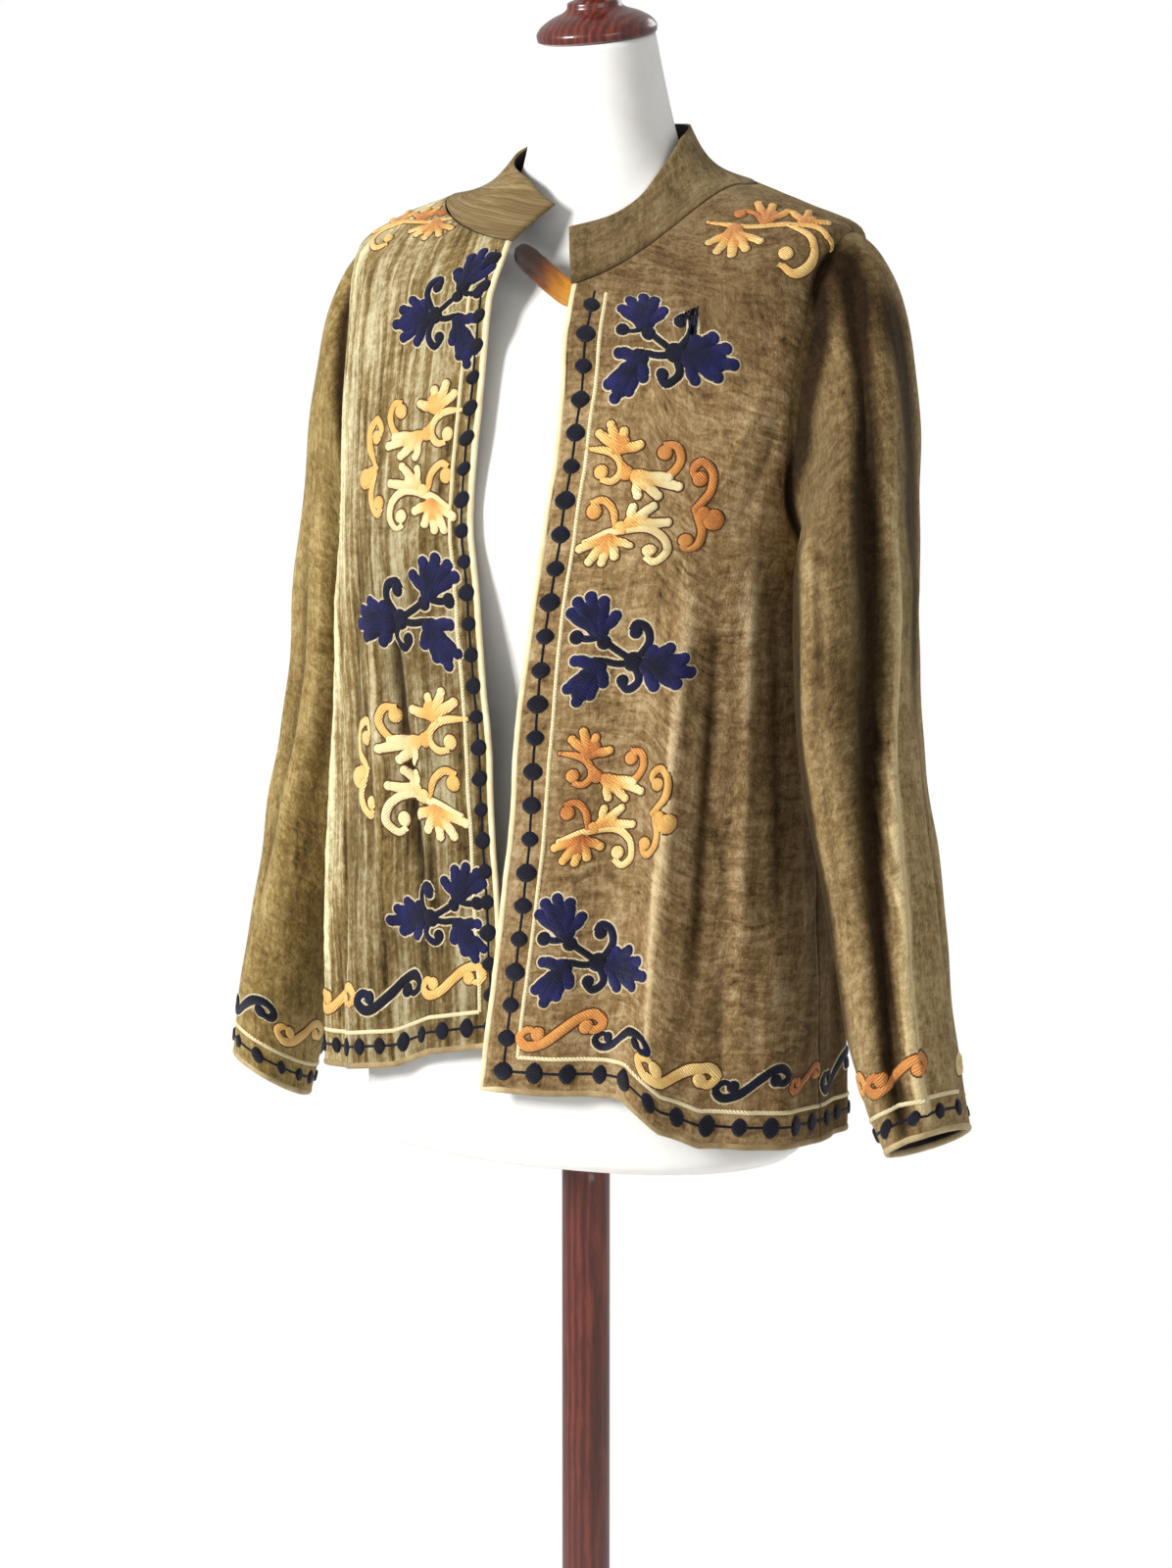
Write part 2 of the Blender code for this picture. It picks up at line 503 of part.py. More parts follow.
# ---------------------------------------------------------------- dress form
def form_rings(count=27, round_=28):
    s = np.linspace(0, 1, count)
    row = smooth(FORM, s)
    th = np.linspace(0, 2 * math.pi, round_, endpoint=False)
    sn, cs = np.sin(th)[None, :], np.cos(th)[None, :]
    z_f, z_s, z_b, half, y_mid, deep_f, deep_b = (row[:, i:i + 1] for i in range(7))
    z = z_s + (np.where(cs >= 0, z_f, z_b) - z_s) * cs**2
    top = ease((s[:, None] - 0.80) / 0.2)
    z_top = z_s - (z_b - z_f) / 2 * cs       # the neck's top is one tilted plane
    z = z * (1 - top) + z_top * top
    sq = 0.08 * (1 - top)
    deep = np.where(cs >= 0, deep_f, deep_b)
    return np.stack([half * sn * (1 + sq * cs**2), y_mid - deep * cs * (1 + sq * sn**2), z], -1)


rings = form_rings()
tube_solid("form_torso", rings, "form_cloth")


def lathe(profile, centre, tilt, round_=28):
    rings = []
    for r, h in profile:
        q = np.linspace(0, 2 * math.pi, round_, endpoint=False)
        p = np.stack([r * np.sin(q), -r * np.cos(q), np.full_like(q, h)], -1)
        y = p[:, 1] * math.cos(tilt) - p[:, 2] * math.sin(tilt)
        z = p[:, 1] * math.sin(tilt) + p[:, 2] * math.cos(tilt)
        rings.append(np.stack([p[:, 0] + centre[0], y + centre[1], z + centre[2]], -1))
    return np.array(rings)


top_mid = rings[-1].mean(0)
tilt = math.atan2(rings[-1][14][2] - rings[-1][0][2], rings[-1][14][1] - rings[-1][0][1])
lift = np.array([0.0, -math.sin(tilt), math.cos(tilt)]) * SEAM
tube_solid("neck_cap", lathe(CAP, top_mid + lift, tilt), "wood")
tube_solid("stand_base", lathe(BASE, (0, 0, 0), 0.0, 40), "wood")
tube_solid("stand_pole", lathe([(POLE_R, POLE_Z[0]), (POLE_R, POLE_Z[1])], (0, 0, 0), 0.0, 24), "wood")

# the box of the whole stands centred over the origin
corners = np.array([v.co[:] for obj in bpy.data.objects for v in obj.data.vertices])
centre = (corners.min(0) + corners.max(0)) / 2
for obj in bpy.data.objects:
    for v in obj.data.vertices:
        v.co.x -= centre[0]
        v.co.y -= centre[1]
    obj.data.update()
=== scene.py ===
"""Visual model of the embroidered velvet jacket on its dress form (metres, +Z up, front faces -Y, wearer's left is +X)."""

import json
import math

import bpy
import numpy as np
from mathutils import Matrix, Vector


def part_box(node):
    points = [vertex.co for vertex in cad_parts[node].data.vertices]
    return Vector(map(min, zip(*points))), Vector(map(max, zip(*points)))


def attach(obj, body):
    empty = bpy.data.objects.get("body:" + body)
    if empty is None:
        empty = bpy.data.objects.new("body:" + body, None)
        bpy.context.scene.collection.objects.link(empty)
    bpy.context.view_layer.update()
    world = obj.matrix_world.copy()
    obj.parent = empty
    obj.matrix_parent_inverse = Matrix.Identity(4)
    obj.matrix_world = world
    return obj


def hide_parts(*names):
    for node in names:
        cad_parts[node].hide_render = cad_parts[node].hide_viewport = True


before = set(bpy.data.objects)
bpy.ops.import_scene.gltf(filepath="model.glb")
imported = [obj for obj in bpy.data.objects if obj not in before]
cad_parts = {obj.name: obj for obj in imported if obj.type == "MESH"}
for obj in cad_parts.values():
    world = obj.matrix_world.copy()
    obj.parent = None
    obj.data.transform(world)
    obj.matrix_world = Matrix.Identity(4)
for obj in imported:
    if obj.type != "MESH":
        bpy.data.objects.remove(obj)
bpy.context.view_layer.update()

lo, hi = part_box("stand_base")
SHIFT = np.array([(lo[0] + hi[0]) / 2, (lo[1] + hi[1]) / 2, 0.0])   # the model's own zero, as the CAD was centred

# ---------------------------------------------------------------- the garment's sizes, as in the CAD
CLOTH = 0.0018
SEAM = 0.0003
SQUARE = 0.12
BINDING_W = 0.0040
LAP_RISE = 0.0052
ARMHOLE_DEG = 25.0
POLE_R = 0.0160
BODY = (
    (0.800, 0.830, 0.764, 0.790, 0.768, 0.1720, 0.000, 0.1160, 0.1120, 0.000),
    (0.905, 0.920, 0.890, 0.900, 0.892, 0.1700, 0.000, 0.1130, 0.1100, 0.000),
    (1.035, 1.042, 1.025, 1.030, 1.028, 0.1665, 0.000, 0.1090, 0.1010, 0.000),
    (1.150, 1.156, 1.140, 1.142, 1.145, 0.1670, 0.000, 0.1070, 0.0990, 0.001),
    (1.215, 1.231, 1.228, 1.228, 1.234, 0.1770, 0.003, 0.0970, 0.0965, 0.003),
    (1.248, 1.268, 1.301, 1.299, 1.303, 0.1815, 0.007, 0.0910, 0.0915, 0.008),
    (1.273, 1.297, 1.342, 1.338, 1.340, 0.1775, 0.011, 0.0885, 0.0870, 0.008),
    (1.291, 1.318, 1.3590, 1.3575, 1.366, 0.1440, 0.014, 0.0830, 0.0780, 0.004),
    (1.307, 1.336, 1.3725, 1.3710, 1.386, 0.1040, 0.018, 0.0780, 0.0700, 0.001),
)
UNDERARM, SHOULDER = 3 / 8, 6 / 8
HEM_LEFT = ((-12.0, 0.8005), (28.0, 0.8015), (36.0, 0.782), (46.0, 0.771), (74.0, 0.766), (90.0, 0.7635))
HEM_RIGHT = ((-90.0, 0.789), (-61.0, 0.793), (-47.0, 0.796), (-27.0, 0.805), (-16.0, 0.818), (6.0, 0.832))
HEM_BACK = ((90.0, 0.7635), (120.0, 0.762), (150.0, 0.765), (180.0, 0.771), (225.0, 0.781), (270.0, 0.789))
EDGES = (
    (0.780, -0.0110, 0.0100), (0.870, -0.0005, 0.0060), (0.915, 0.0050, 0.0015), (0.957, 0.0100, -0.0020), (1.014, 0.0130, -0.0065),
    (1.053, 0.0170, -0.0105), (1.109, 0.0230, -0.0155), (1.150, 0.0290, -0.0205), (1.195, 0.0320, -0.0215), (1.242, 0.0310, -0.0230),
    (1.303, 0.0240, -0.0250), (1.340, 0.0220, -0.0210),
)
FOLDS = (
    (33.0, 44.0, 9.0, 0.0100, 0.49), (20.0, 32.0, 10.0, -0.0070, 0.44), (52.0, 56.0, 10.0, -0.0050, 0.40), (72.0, 74.0, 10.0, 0.0040, 0.35),
    (-62.0, -60.0, 13.0, 0.0100, 0.56), (-23.0, -27.0, 9.0, -0.0060, 0.47), (-42.0, -44.0, 9.0, 0.0035, 0.35),
    (112.0, 108.0, 10.0, 0.0070, 0.44), (131.0, 126.0, 10.0, -0.0055, 0.40), (152.0, 150.0, 11.0, 0.0080, 0.51), (174.0, 172.0, 11.0, -0.0050, 0.39),
    (197.0, 200.0, 11.0, 0.0070, 0.46), (219.0, 224.0, 10.0, -0.0060, 0.44), (242.0, 246.0, 11.0, 0.0075, 0.40),
)
SLEEVE_LEFT = (
    (0.2135, -0.035, 1.124, 0.0365, 0.0710, 8.0, 15.0, 10.0),
    (0.2135, -0.036, 1.066, 0.0360, 0.0690, 3.0, 15.0, 2.0),
    (0.2190, -0.036, 1.010, 0.0350, 0.0660, 7.0, 14.0, 2.0),
    (0.2300, -0.039, 0.957, 0.0340, 0.0620, 11.0, 13.0, 3.0),
    (0.2415, -0.042, 0.905, 0.0325, 0.0575, 12.0, 12.0, 4.0),
    (0.2505, -0.045, 0.855, 0.0305, 0.0515, 15.0, 10.0, 5.0),
    (0.2600, -0.046, 0.816, 0.0280, 0.0460, 22.0, 8.0, 6.0),
    (0.2710, -0.047, 0.783, 0.0245, 0.0395, 27.0, 8.0, 8.0),
)
SLEEVE_RIGHT = (
    (0.2080, 0.044, 1.120, 0.0360, 0.0700, 8.0, -15.0, 0.0),
    (0.2110, 0.042, 1.056, 0.0360, 0.0685, 5.0, -15.0, 0.0),
    (0.2190, 0.040, 1.005, 0.0350, 0.0660, 9.0, -14.0, 2.0),
    (0.2300, 0.037, 0.950, 0.0340, 0.0620, 12.0, -12.0, 4.0),
    (0.2410, 0.033, 0.898, 0.0325, 0.0575, 13.0, -11.0, 6.0),
    (0.2530, 0.030, 0.845, 0.0310, 0.0530, 15.0, -9.0, 10.0),
    (0.2640, 0.028, 0.797, 0.0290, 0.0490, 22.0, -8.0, 16.0),
    (0.2730, 0.027, 0.759, 0.0280, 0.0460, 27.0, -8.0, 22.0),
)
CAP_PULL = {"left": 0.76, "right": 0.58}
COLLAR_OVAL = {"half_width": 0.0570, "depth": 0.0580, "y_mid": 0.020}
COLLAR_EDGE = (
    (9.5, 1.3464, -0.0010), (34.0, 1.3525, -0.0005), (54.0, 1.3640, 0.0020), (74.0, 1.3855, 0.0055), (97.0, 1.4060, 0.0080), (135.0, 1.4150, 0.0080),
    (180.0, 1.4170, 0.0070), (225.0, 1.4120, 0.0070), (270.0, 1.4000, 0.0070), (300.0, 1.3900, 0.0050), (337.0, 1.3770, 0.0010), (349.0, 1.3670, -0.0005), (359.0, 1.3610, -0.0010),
)
FORM = (
    (0.748, 0.748, 0.748, 0.1440, 0.000, 0.0920, 0.0920),
    (0.756, 0.756, 0.756, 0.1520, 0.000, 0.0980, 0.0980),
    (0.810, 0.810, 0.810, 0.1560, 0.000, 0.1010, 0.0990),
    (0.880, 0.880, 0.880, 0.1540, 0.000, 0.0990, 0.0980),
    (0.960, 0.960, 0.960, 0.1370, 0.000, 0.0900, 0.0860),
    (1.030, 1.030, 1.030, 0.1220, 0.000, 0.0840, 0.0760),
    (1.100, 1.100, 1.100, 0.1330, 0.000, 0.0920, 0.0800),
    (1.160, 1.150, 1.150, 0.1480, 0.000, 0.1000, 0.0860),
    (1.222, 1.238, 1.245, 0.1610, 0.004, 0.0880, 0.0880),
    (1.268, 1.305, 1.315, 0.1680, 0.010, 0.0800, 0.0800),
    (1.280, 1.334, 1.340, 0.1580, 0.012, 0.0740, 0.0760),
    (1.292, 1.350, 1.360, 0.1330, 0.014, 0.0690, 0.0700),
    (1.307, 1.3670, 1.381, 0.0930, 0.018, 0.0610, 0.0620),
    (1.330, 1.384, 1.394, 0.0575, 0.020, 0.0465, 0.0520),
    (1.375, 1.403, 1.410, 0.0485, 0.020, 0.0450, 0.0480),
    (1.425, 1.433, 1.440, 0.0430, 0.018, 0.0425, 0.0435),
    (1.4605, 1.4685, 1.4765, 0.0375, 0.015, 0.0375, 0.0375),
)
CAP = ((0.0360, 0.0000), (0.0388, 0.0015), (0.0392, 0.0050), (0.0370, 0.0090), (0.0290, 0.0145), (0.0205, 0.0180), (0.0178, 0.0205), (0.0172, 0.0235),
       (0.0105, 0.0265), (0.0088, 0.0310), (0.0110, 0.0360), (0.0135, 0.0420), (0.0125, 0.0485), (0.0075, 0.0530))
BASE = ((0.1660, 0.0000), (0.1700, 0.0040), (0.1700, 0.0120), (0.1650, 0.0180), (0.1500, 0.0215), (0.0900, 0.0260), (0.0420, 0.0300), (0.0330, 0.0380), (0.0280, 0.0480))
POLE_Z = (0.0483, 0.7477)


# ---------------------------------------------------------------- curves through the tables
def smooth(rows, s):
    rows = np.asarray(rows, float)
    last = len(rows) - 1
    x = np.clip(np.asarray(s, float), 0.0, 1.0) * last
    k = np.minimum(x.astype(int), last - 1)
    f = (x - k)[..., None]
    step = np.diff(rows, axis=0)
    slope = np.zeros_like(rows)
    slope[0], slope[-1] = step[0], step[-1]
    same = (step[1:] * step[:-1]) > 0
    slope[1:-1] = np.where(same, 2 * step[1:] * step[:-1] / np.where(same, step[1:] + step[:-1], 1.0), 0.0)
    a, b, ma, mb = rows[k], rows[k + 1], slope[k], slope[k + 1]
    return (2 * f**3 - 3 * f**2 + 1) * a + (f**3 - 2 * f**2 + f) * ma + (3 * f**2 - 2 * f**3) * b + (f**3 - f**2) * mb


def ease(x):
    x = np.clip(x, 0.0, 1.0)
    return x * x * (3 - 2 * x)


def lookup(rows, x):
    t = np.asarray(rows, float)
    return np.interp(x, t[:, 0], t[:, 1])


def smooth_lookup(xs, ys, x):
    """Monotone cubic through a table."""
    xs, ys = np.asarray(xs, float), np.asarray(ys, float)
    d = np.diff(ys) / np.diff(xs)
    m = np.zeros_like(ys)
    m[0], m[-1] = d[0], d[-1]
    same = d[1:] * d[:-1] > 0
    m[1:-1] = np.where(same, 2 * d[1:] * d[:-1] / np.where(same, d[1:] + d[:-1], 1.0), 0.0)
    k = np.clip(np.searchsorted(xs, x) - 1, 0, len(xs) - 2)
    h = xs[k + 1] - xs[k]
    t = np.clip((x - xs[k]) / h, 0, 1)
    return (2 * t**3 - 3 * t**2 + 1) * ys[k] + (t**3 - 2 * t**2 + t) * h * m[k] + (3 * t**2 - 2 * t**3) * ys[k + 1] + (t**3 - t**2) * h * m[k + 1]


def unit(v):
    return v / np.maximum(np.linalg.norm(v, axis=-1, keepdims=True), 1e-12)


def body_point(theta, s, side):
    theta, s = np.broadcast_arrays(np.asarray(theta, float), np.asarray(s, float))
    row = smooth(BODY, s)
    z_fl, z_fr, z_l, z_r, z_b, half, y_mid, deep_f, deep_b, x_mid = np.moveaxis(row, -1, 0)
    sn, cs = np.sin(theta), np.cos(theta)
    z_side = np.where(sn >= 0, z_l, z_r)
    z_front = z_fl if side == "left" else z_fr
    z_end = np.where(cs >= 0, z_front, z_b) if side != "back" else z_b
    z = z_side + (z_end - z_side) * cs**2
    deg = np.degrees(theta)
    hem = {"left": HEM_LEFT, "right": HEM_RIGHT, "back": HEM_BACK}[side]
    row0 = np.asarray(BODY[0])
    z0_side = np.where(sn >= 0, row0[2], row0[3])
    z0_end = {"left": row0[0], "right": row0[1], "back": row0[4]}[side]
    z0 = z0_side + (z0_end - z0_side) * cs**2
    z = z + (lookup(hem, deg) - z0) * np.clip(1 - s / 0.245, 0, 1) ** 2
    deep = np.where(cs >= 0, deep_f, deep_b)
    x = x_mid + half * sn * (1 + SQUARE * cs**2)
    y = y_mid - deep * cs * (1 + SQUARE * sn**2)
    out = unit(np.stack([sn / half, -cs / deep], -1))
    rise = np.zeros_like(x)
    for deg_hem, deg_top, width, rise_hem, fades_at in FOLDS:
        centre = deg_hem + (deg_top - deg_hem) * s / fades_at
        if (side == "back") != (deg_hem >= 90):
            continue
        gap = deg - centre
        bump = np.where(np.abs(gap) < width, 0.5 + 0.5 * np.cos(math.pi * gap / width), 0.0)
        rise = rise + rise_hem * bump * ease(1 - s / fades_at)
    if side == "left":
        rise = rise + LAP_RISE * ease((0.385 - s) / 0.14) * ease((26.0 - deg) / 20.0)
    if side == "right":
        rise = rise - 0.0010 * ease((0.385 - s) / 0.14) * ease((deg + 26.0) / 20.0)
    return np.stack([x + rise * out[..., 0], y + rise * out[..., 1], z], -1)


def body_normal(theta, s, side):
    da, ds = 2e-3, 1e-3
    theta, s = np.broadcast_arrays(np.asarray(theta, float), np.asarray(s, float))
    low, high = np.clip(s - ds, 0, 1), np.clip(s + ds, 0, 1)
    across = body_point(theta + da, s, side) - body_point(theta - da, s, side)
    along = body_point(theta, high, side) - body_point(theta, low, side)
    return unit(np.cross(across, along))


def armhole_half(s):
    t = np.clip((s - UNDERARM) / (SHOULDER - UNDERARM), 0, 1)
    return math.radians(ARMHOLE_DEG) * 2 * np.sqrt(t * (1 - t))


def edge_theta(s, side):
    rows = np.asarray(EDGES)
    theta = np.zeros_like(s)
    for _ in range(12):
        p = body_point(theta, s, side)
        want = np.interp(p[:, 2], rows[:, 0], rows[:, 1 if side == "left" else 2])
        theta = theta + (want - p[:, 0]) / (0.19)
    return theta


# ---------------------------------------------------------------- creases, placed one by one
# Each crease is a path of (degrees round the body, height), its half-width and its rise in millimetres (minus: a trough).
BODY_CREASES = (
    # left front
    (((44, 1.150), (42, 1.085), (40, 1.030), (37.5, 0.965), (35, 0.900), (33, 0.830)), 6.5, 2.6, 1.3),
    (((41.5, 1.075), (39, 1.020), (36.5, 0.960), (34.2, 0.900), (32.6, 0.815)), 2.4, 1.1, 4.2, (0.25, 0.12)),
    (((52, 1.150), (50, 1.070), (48, 0.990), (45, 0.900), (43, 0.830)), 8.0, -3.0, 1.7),
    (((60, 1.185), (61, 1.100), (60, 1.010), (58, 0.910), (57, 0.820)), 9.0, 2.4, 1.5),
    (((69, 1.150), (71, 1.060), (71, 0.970), (70, 0.880)), 8.5, -2.6, 1.4),
    (((79, 1.120), (80, 1.030), (80, 0.930), (81, 0.830)), 9.0, 1.8),
    (((64, 1.245), (60, 1.195), (55, 1.150)), 7.0, -2.2),
    (((57, 1.262), (51, 1.215), (47, 1.175)), 6.5, 1.6),
    (((30, 1.262), (38, 1.243), (47, 1.236)), 3.4, -1.1, 2.2),
    (((26, 1.220), (35, 1.203), (45, 1.200)), 3.2, -1.0, 2.2),
    (((24, 1.132), (33, 1.124), (43, 1.128)), 3.4, -1.1, 2.2),
    (((44, 1.098), (54, 1.082), (64, 1.079)), 3.2, -1.1, 2.2),
    (((46, 1.045), (55, 1.036), (66, 1.040)), 3.0, -0.9, 2.2),
    (((20, 1.046), (28, 1.040), (36, 1.041)), 3.0, -0.9, 2.2),
    (((47, 1.004), (53, 0.960), (55, 0.910)), 4.5, -1.2),
    (((15, 0.950), (22, 0.943), (30, 0.944)), 3.0, -0.7),
    (((53, 0.900), (52, 0.850), (53, 0.800)), 5.0, -1.4),
    (((66, 0.900), (65, 0.850), (66, 0.790)), 5.5, 1.5),
    (((20, 0.870), (23, 0.835), (24, 0.806)), 5.0, -1.0),
    (((34, 1.300), (38, 1.275), (44, 1.256)), 4.0, -1.0),
    (((62, 1.305), (67, 1.270), (69, 1.225)), 7.0, -1.9),
    # right front
    (((-29, 1.125), (-27.6, 1.065), (-23.8, 1.003), (-20.3, 0.946), (-18, 0.890)), 5.0, -4.6, 1.5),
    (((-37, 1.120), (-35, 1.040), (-31, 0.950), (-29, 0.870)), 7.5, 3.2),
    (((-45, 1.165), (-45, 1.070), (-44, 0.970), (-42, 0.870)), 8.5, -2.2),
    (((-53, 1.180), (-53, 1.080), (-52, 0.970), (-52, 0.850)), 5.0, 1.3),
    (((-62, 1.225), (-62, 1.100), (-61.5, 0.970), (-61, 0.810)), 5.5, 3.4),
    (((-71, 1.190), (-72, 1.080), (-73, 0.950), (-74, 0.830)), 7.5, -2.8),
    (((-82, 1.120), (-82, 1.000), (-83, 0.870)), 8.0, 1.8),
    (((-15, 1.240), (-16, 1.190), (-15, 1.140)), 3.0, -0.9),
    (((-21, 1.270), (-22, 1.215), (-21, 1.150)), 3.0, -1.0),
    (((-28, 1.275), (-29, 1.220), (-29, 1.160)), 3.2, 1.0),
    (((-36, 1.280), (-37, 1.220), (-37, 1.150)), 3.4, -1.1),
    (((-42, 1.270), (-43, 1.215), (-44, 1.160)), 3.0, 1.0),
    (((-49, 1.270), (-50, 1.215), (-51, 1.165)), 3.6, -1.3),
    (((-56, 1.275), (-57, 1.220), (-57, 1.160)), 3.2, 1.1),
    (((-63, 1.300), (-65, 1.250), (-66, 1.200)), 4.6, -1.7),
    (((-17, 1.085), (-18, 1.035), (-17, 0.985)), 3.0, -0.8),
    (((-39, 1.060), (-39, 1.010), (-38, 0.960)), 3.2, -0.9),
    (((-57, 1.120), (-57, 1.040), (-57, 0.960)), 3.0, -0.9),
    (((-14, 0.940), (-13, 0.900), (-12, 0.865)), 3.4, -0.9),
    (((-50, 0.920), (-49, 0.870), (-49, 0.820)), 3.6, -1.2),
    (((-36, 1.325), (-44, 1.300), (-54, 1.290)), 4.0, -1.1),
    # back
    (((112, 1.130), (111, 1.050), (112, 0.950), (114, 0.830)), 9.0, 2.2),
    (((122, 1.150), (124, 1.060), (125, 0.960), (126, 0.860)), 8.0, -2.6),
    (((101, 1.150), (100, 1.050), (100, 0.940)), 8.0, -2.0),
    (((139, 1.110), (140, 1.020), (141, 0.920), (141, 0.820)), 8.0, 1.8),
    (((151, 1.160), (150, 1.060), (152, 0.960), (153, 0.850)), 7.0, 2.6),
    (((163, 1.120), (163, 1.020), (164, 0.910)), 8.0, -2.4),
    (((176, 1.060), (175, 0.980), (176, 0.880)), 7.0, 1.6),
    (((188, 1.140), (187, 1.040), (186, 0.930), (185, 0.830)), 8.5, -2.4),
    (((199, 1.130), (200, 1.030), (199, 0.920), (198, 0.830)), 7.0, 2.2),
    (((212, 1.080), (213, 0.990), (212, 0.890)), 7.0, -2.0),
    (((226, 1.150), (227, 1.040), (225, 0.930), (224, 0.840)), 8.5, -2.2),
    (((243, 1.120), (244, 1.020), (243, 0.920), (242, 0.830)), 8.0, 2.4),
    (((257, 1.150), (258, 1.060), (258, 0.950)), 8.0, -2.4),
    (((122, 1.250), (131, 1.215), (143, 1.200)), 6.0, -1.8),
    (((126, 1.215), (136, 1.185), (148, 1.175)), 5.5, 1.2),
    (((236, 1.245), (227, 1.210), (215, 1.196)), 6.0, -1.7),
    (((238, 1.208), (228, 1.180), (219, 1.170)), 5.0, 1.1),
    (((160, 1.345), (180, 1.338), (199, 1.344)), 5.0, -1.2),
    (((118, 1.170), (130, 1.140), (141, 1.128)), 5.0, -1.2),
    (((243, 1.175), (232, 1.142), (222, 1.130)), 5.0, -1.3),
    (((150, 1.270), (166, 1.262), (181, 1.266)), 4.0, -0.8),
    (((168, 1.205), (186, 1.200), (204, 1.206)), 4.0, -0.8),
    (((145, 1.050), (157, 1.040), (170, 1.043)), 3.6, -0.8),
    (((192, 1.010), (206, 1.002), (218, 1.008)), 3.6, -0.8),
)
# The same for the sleeves: (degrees round the sleeve from its shoulder side, share of the way down), half-width and rise in millimetres.
SLEEVE_CREASES = {
    "left": (
        (((14, -0.03), (22, 0.02), (45, 0.07), (56, 0.158), (57, 0.261), (54, 0.36), (55, 0.434), (64, 0.584), (74, 0.744), (79, 0.864), (84, 0.95), (85, 1.03)), 13.5, -7.8, 1.5, (0.08, 0.10)),
        (((43, 0.10), (48, 0.20), (48, 0.34), (48, 0.46), (55, 0.60), (66, 0.75), (71, 0.87), (74, 1.0)), 6.0, -2.2, 2.4, (0.15, 0.10)),
        (((8, 0.05), (22, 0.10), (35, 0.22), (33, 0.36), (36, 0.45), (46, 0.59), (54, 0.744), (55, 0.87), (56, 1.0)), 5.0, 4.0, 1.5, (0.30, 0.08)),
        (((42, 0.46), (46, 0.59), (53, 0.744), (54, 0.87), (55, 1.0)), 8.0, 2.0, 3.2, (0.22, 0.08)),
        (((94, 0.12), (98, 0.28), (96, 0.46), (98, 0.64), (112, 0.84)), 9.5, 3.0, 0.6),
        (((12, 0.03), (10, 0.07), (6, 0.126), (3, 0.183), (1, 0.236), (-2, 0.302), (-7, 0.42), (-12, 0.52)), 16.0, -2.6, 2.6, (0.12, 0.3)),
        (((-8, 0.40), (-8, 0.62), (4, 0.85)), 7.0, -2.2),
        (((104, 0.20), (104, 0.34), (100, 0.48)), 8.0, -1.8),
        (((122, 0.30), (121, 0.48), (118, 0.66)), 8.0, 1.8),
        (((112, 0.56), (118, 0.72), (124, 0.90)), 7.0, -1.8),
        (((84, 0.655), (100, 0.640), (122, 0.648)), 3.0, -1.4),
        (((80, 0.675), (98, 0.668), (118, 0.676)), 2.8, -1.3),
        (((88, 0.698), (104, 0.692), (124, 0.702)), 3.0, -1.2),
        (((78, 0.405), (96, 0.385), (118, 0.378)), 3.4, -1.3),
        (((84, 0.430), (102, 0.412), (122, 0.408)), 3.0, -1.0),
        (((70, 0.520), (88, 0.508), (108, 0.512)), 3.0, -0.9),
        (((84, 0.300), (102, 0.280), (124, 0.270)), 4.0, -1.4),
        (((10, 0.350), (24, 0.365), (36, 0.362)), 3.2, -1.0),
        (((4, 0.640), (16, 0.655), (30, 0.650)), 3.2, -1.1),
        (((-2, 0.780), (12, 0.790), (24, 0.784)), 3.0, -1.0),
        (((-30, 0.300), (-32, 0.520), (-30, 0.760)), 8.0, 2.4),
        (((-52, 0.240), (-55, 0.450), (-52, 0.680)), 8.0, -2.8),
        (((-80, 0.300), (-82, 0.520), (-78, 0.800)), 9.0, 2.4),
        (((-104, 0.250), (-106, 0.450), (-102, 0.700)), 8.0, -2.2),
        (((-140, 0.350), (-142, 0.560), (-138, 0.780)), 9.0, -1.8),
        (((-40, 0.640), (-60, 0.630), (-84, 0.640)), 3.4, -1.3),
        (((-44, 0.670), (-66, 0.664), (-90, 0.672)), 3.2, -1.2),
        (((-30, 0.420), (-54, 0.400), (-80, 0.405)), 3.4, -1.1),
    ),
    "right": (
        (((60, 0.15), (62, 0.35), (60, 0.60), (56, 0.85)), 9.0, -3.4),
        (((84, 0.12), (86, 0.30), (84, 0.50), (80, 0.72)), 8.0, 2.6),
        (((108, 0.20), (110, 0.42), (108, 0.66)), 8.0, -2.8),
        (((128, 0.26), (130, 0.48), (126, 0.74)), 8.0, 2.0),
        (((36, 0.20), (34, 0.45), (30, 0.75)), 9.0, 2.6),
        (((88, 0.640), (104, 0.626), (128, 0.632)), 3.2, -1.3),
        (((82, 0.664), (100, 0.654), (122, 0.662)), 3.0, -1.2),
        (((92, 0.690), (110, 0.684), (130, 0.694)), 3.0, -1.1),
        (((86, 0.400), (104, 0.384), (126, 0.390)), 3.2, -1.0),
        (((70, 0.520), (90, 0.512), (112, 0.520)), 3.0, -0.9),
        (((66, 0.800), (84, 0.792), (102, 0.800)), 3.2, -1.0),
        (((10, 0.25), (8, 0.50), (4, 0.80)), 9.0, -3.0),
        (((-16, 0.22), (-18, 0.46), (-20, 0.74)), 8.0, 2.6),
        (((-44, 0.26), (-46, 0.50), (-44, 0.78)), 9.0, -3.0),
        (((-72, 0.24), (-74, 0.48), (-72, 0.72)), 8.0, 2.4),
        (((-98, 0.28), (-100, 0.50), (-96, 0.80)), 8.0, -2.4),
        (((-134, 0.30), (-136, 0.54), (-132, 0.76)), 9.0, -1.8),
        (((-34, 0.640), (-58, 0.628), (-86, 0.640)), 3.4, -1.3),
        (((-40, 0.668), (-64, 0.660), (-90, 0.672)), 3.2, -1.2),
        (((-28, 0.390), (-52, 0.380), (-78, 0.392)), 3.4, -1.1),
    ),
}
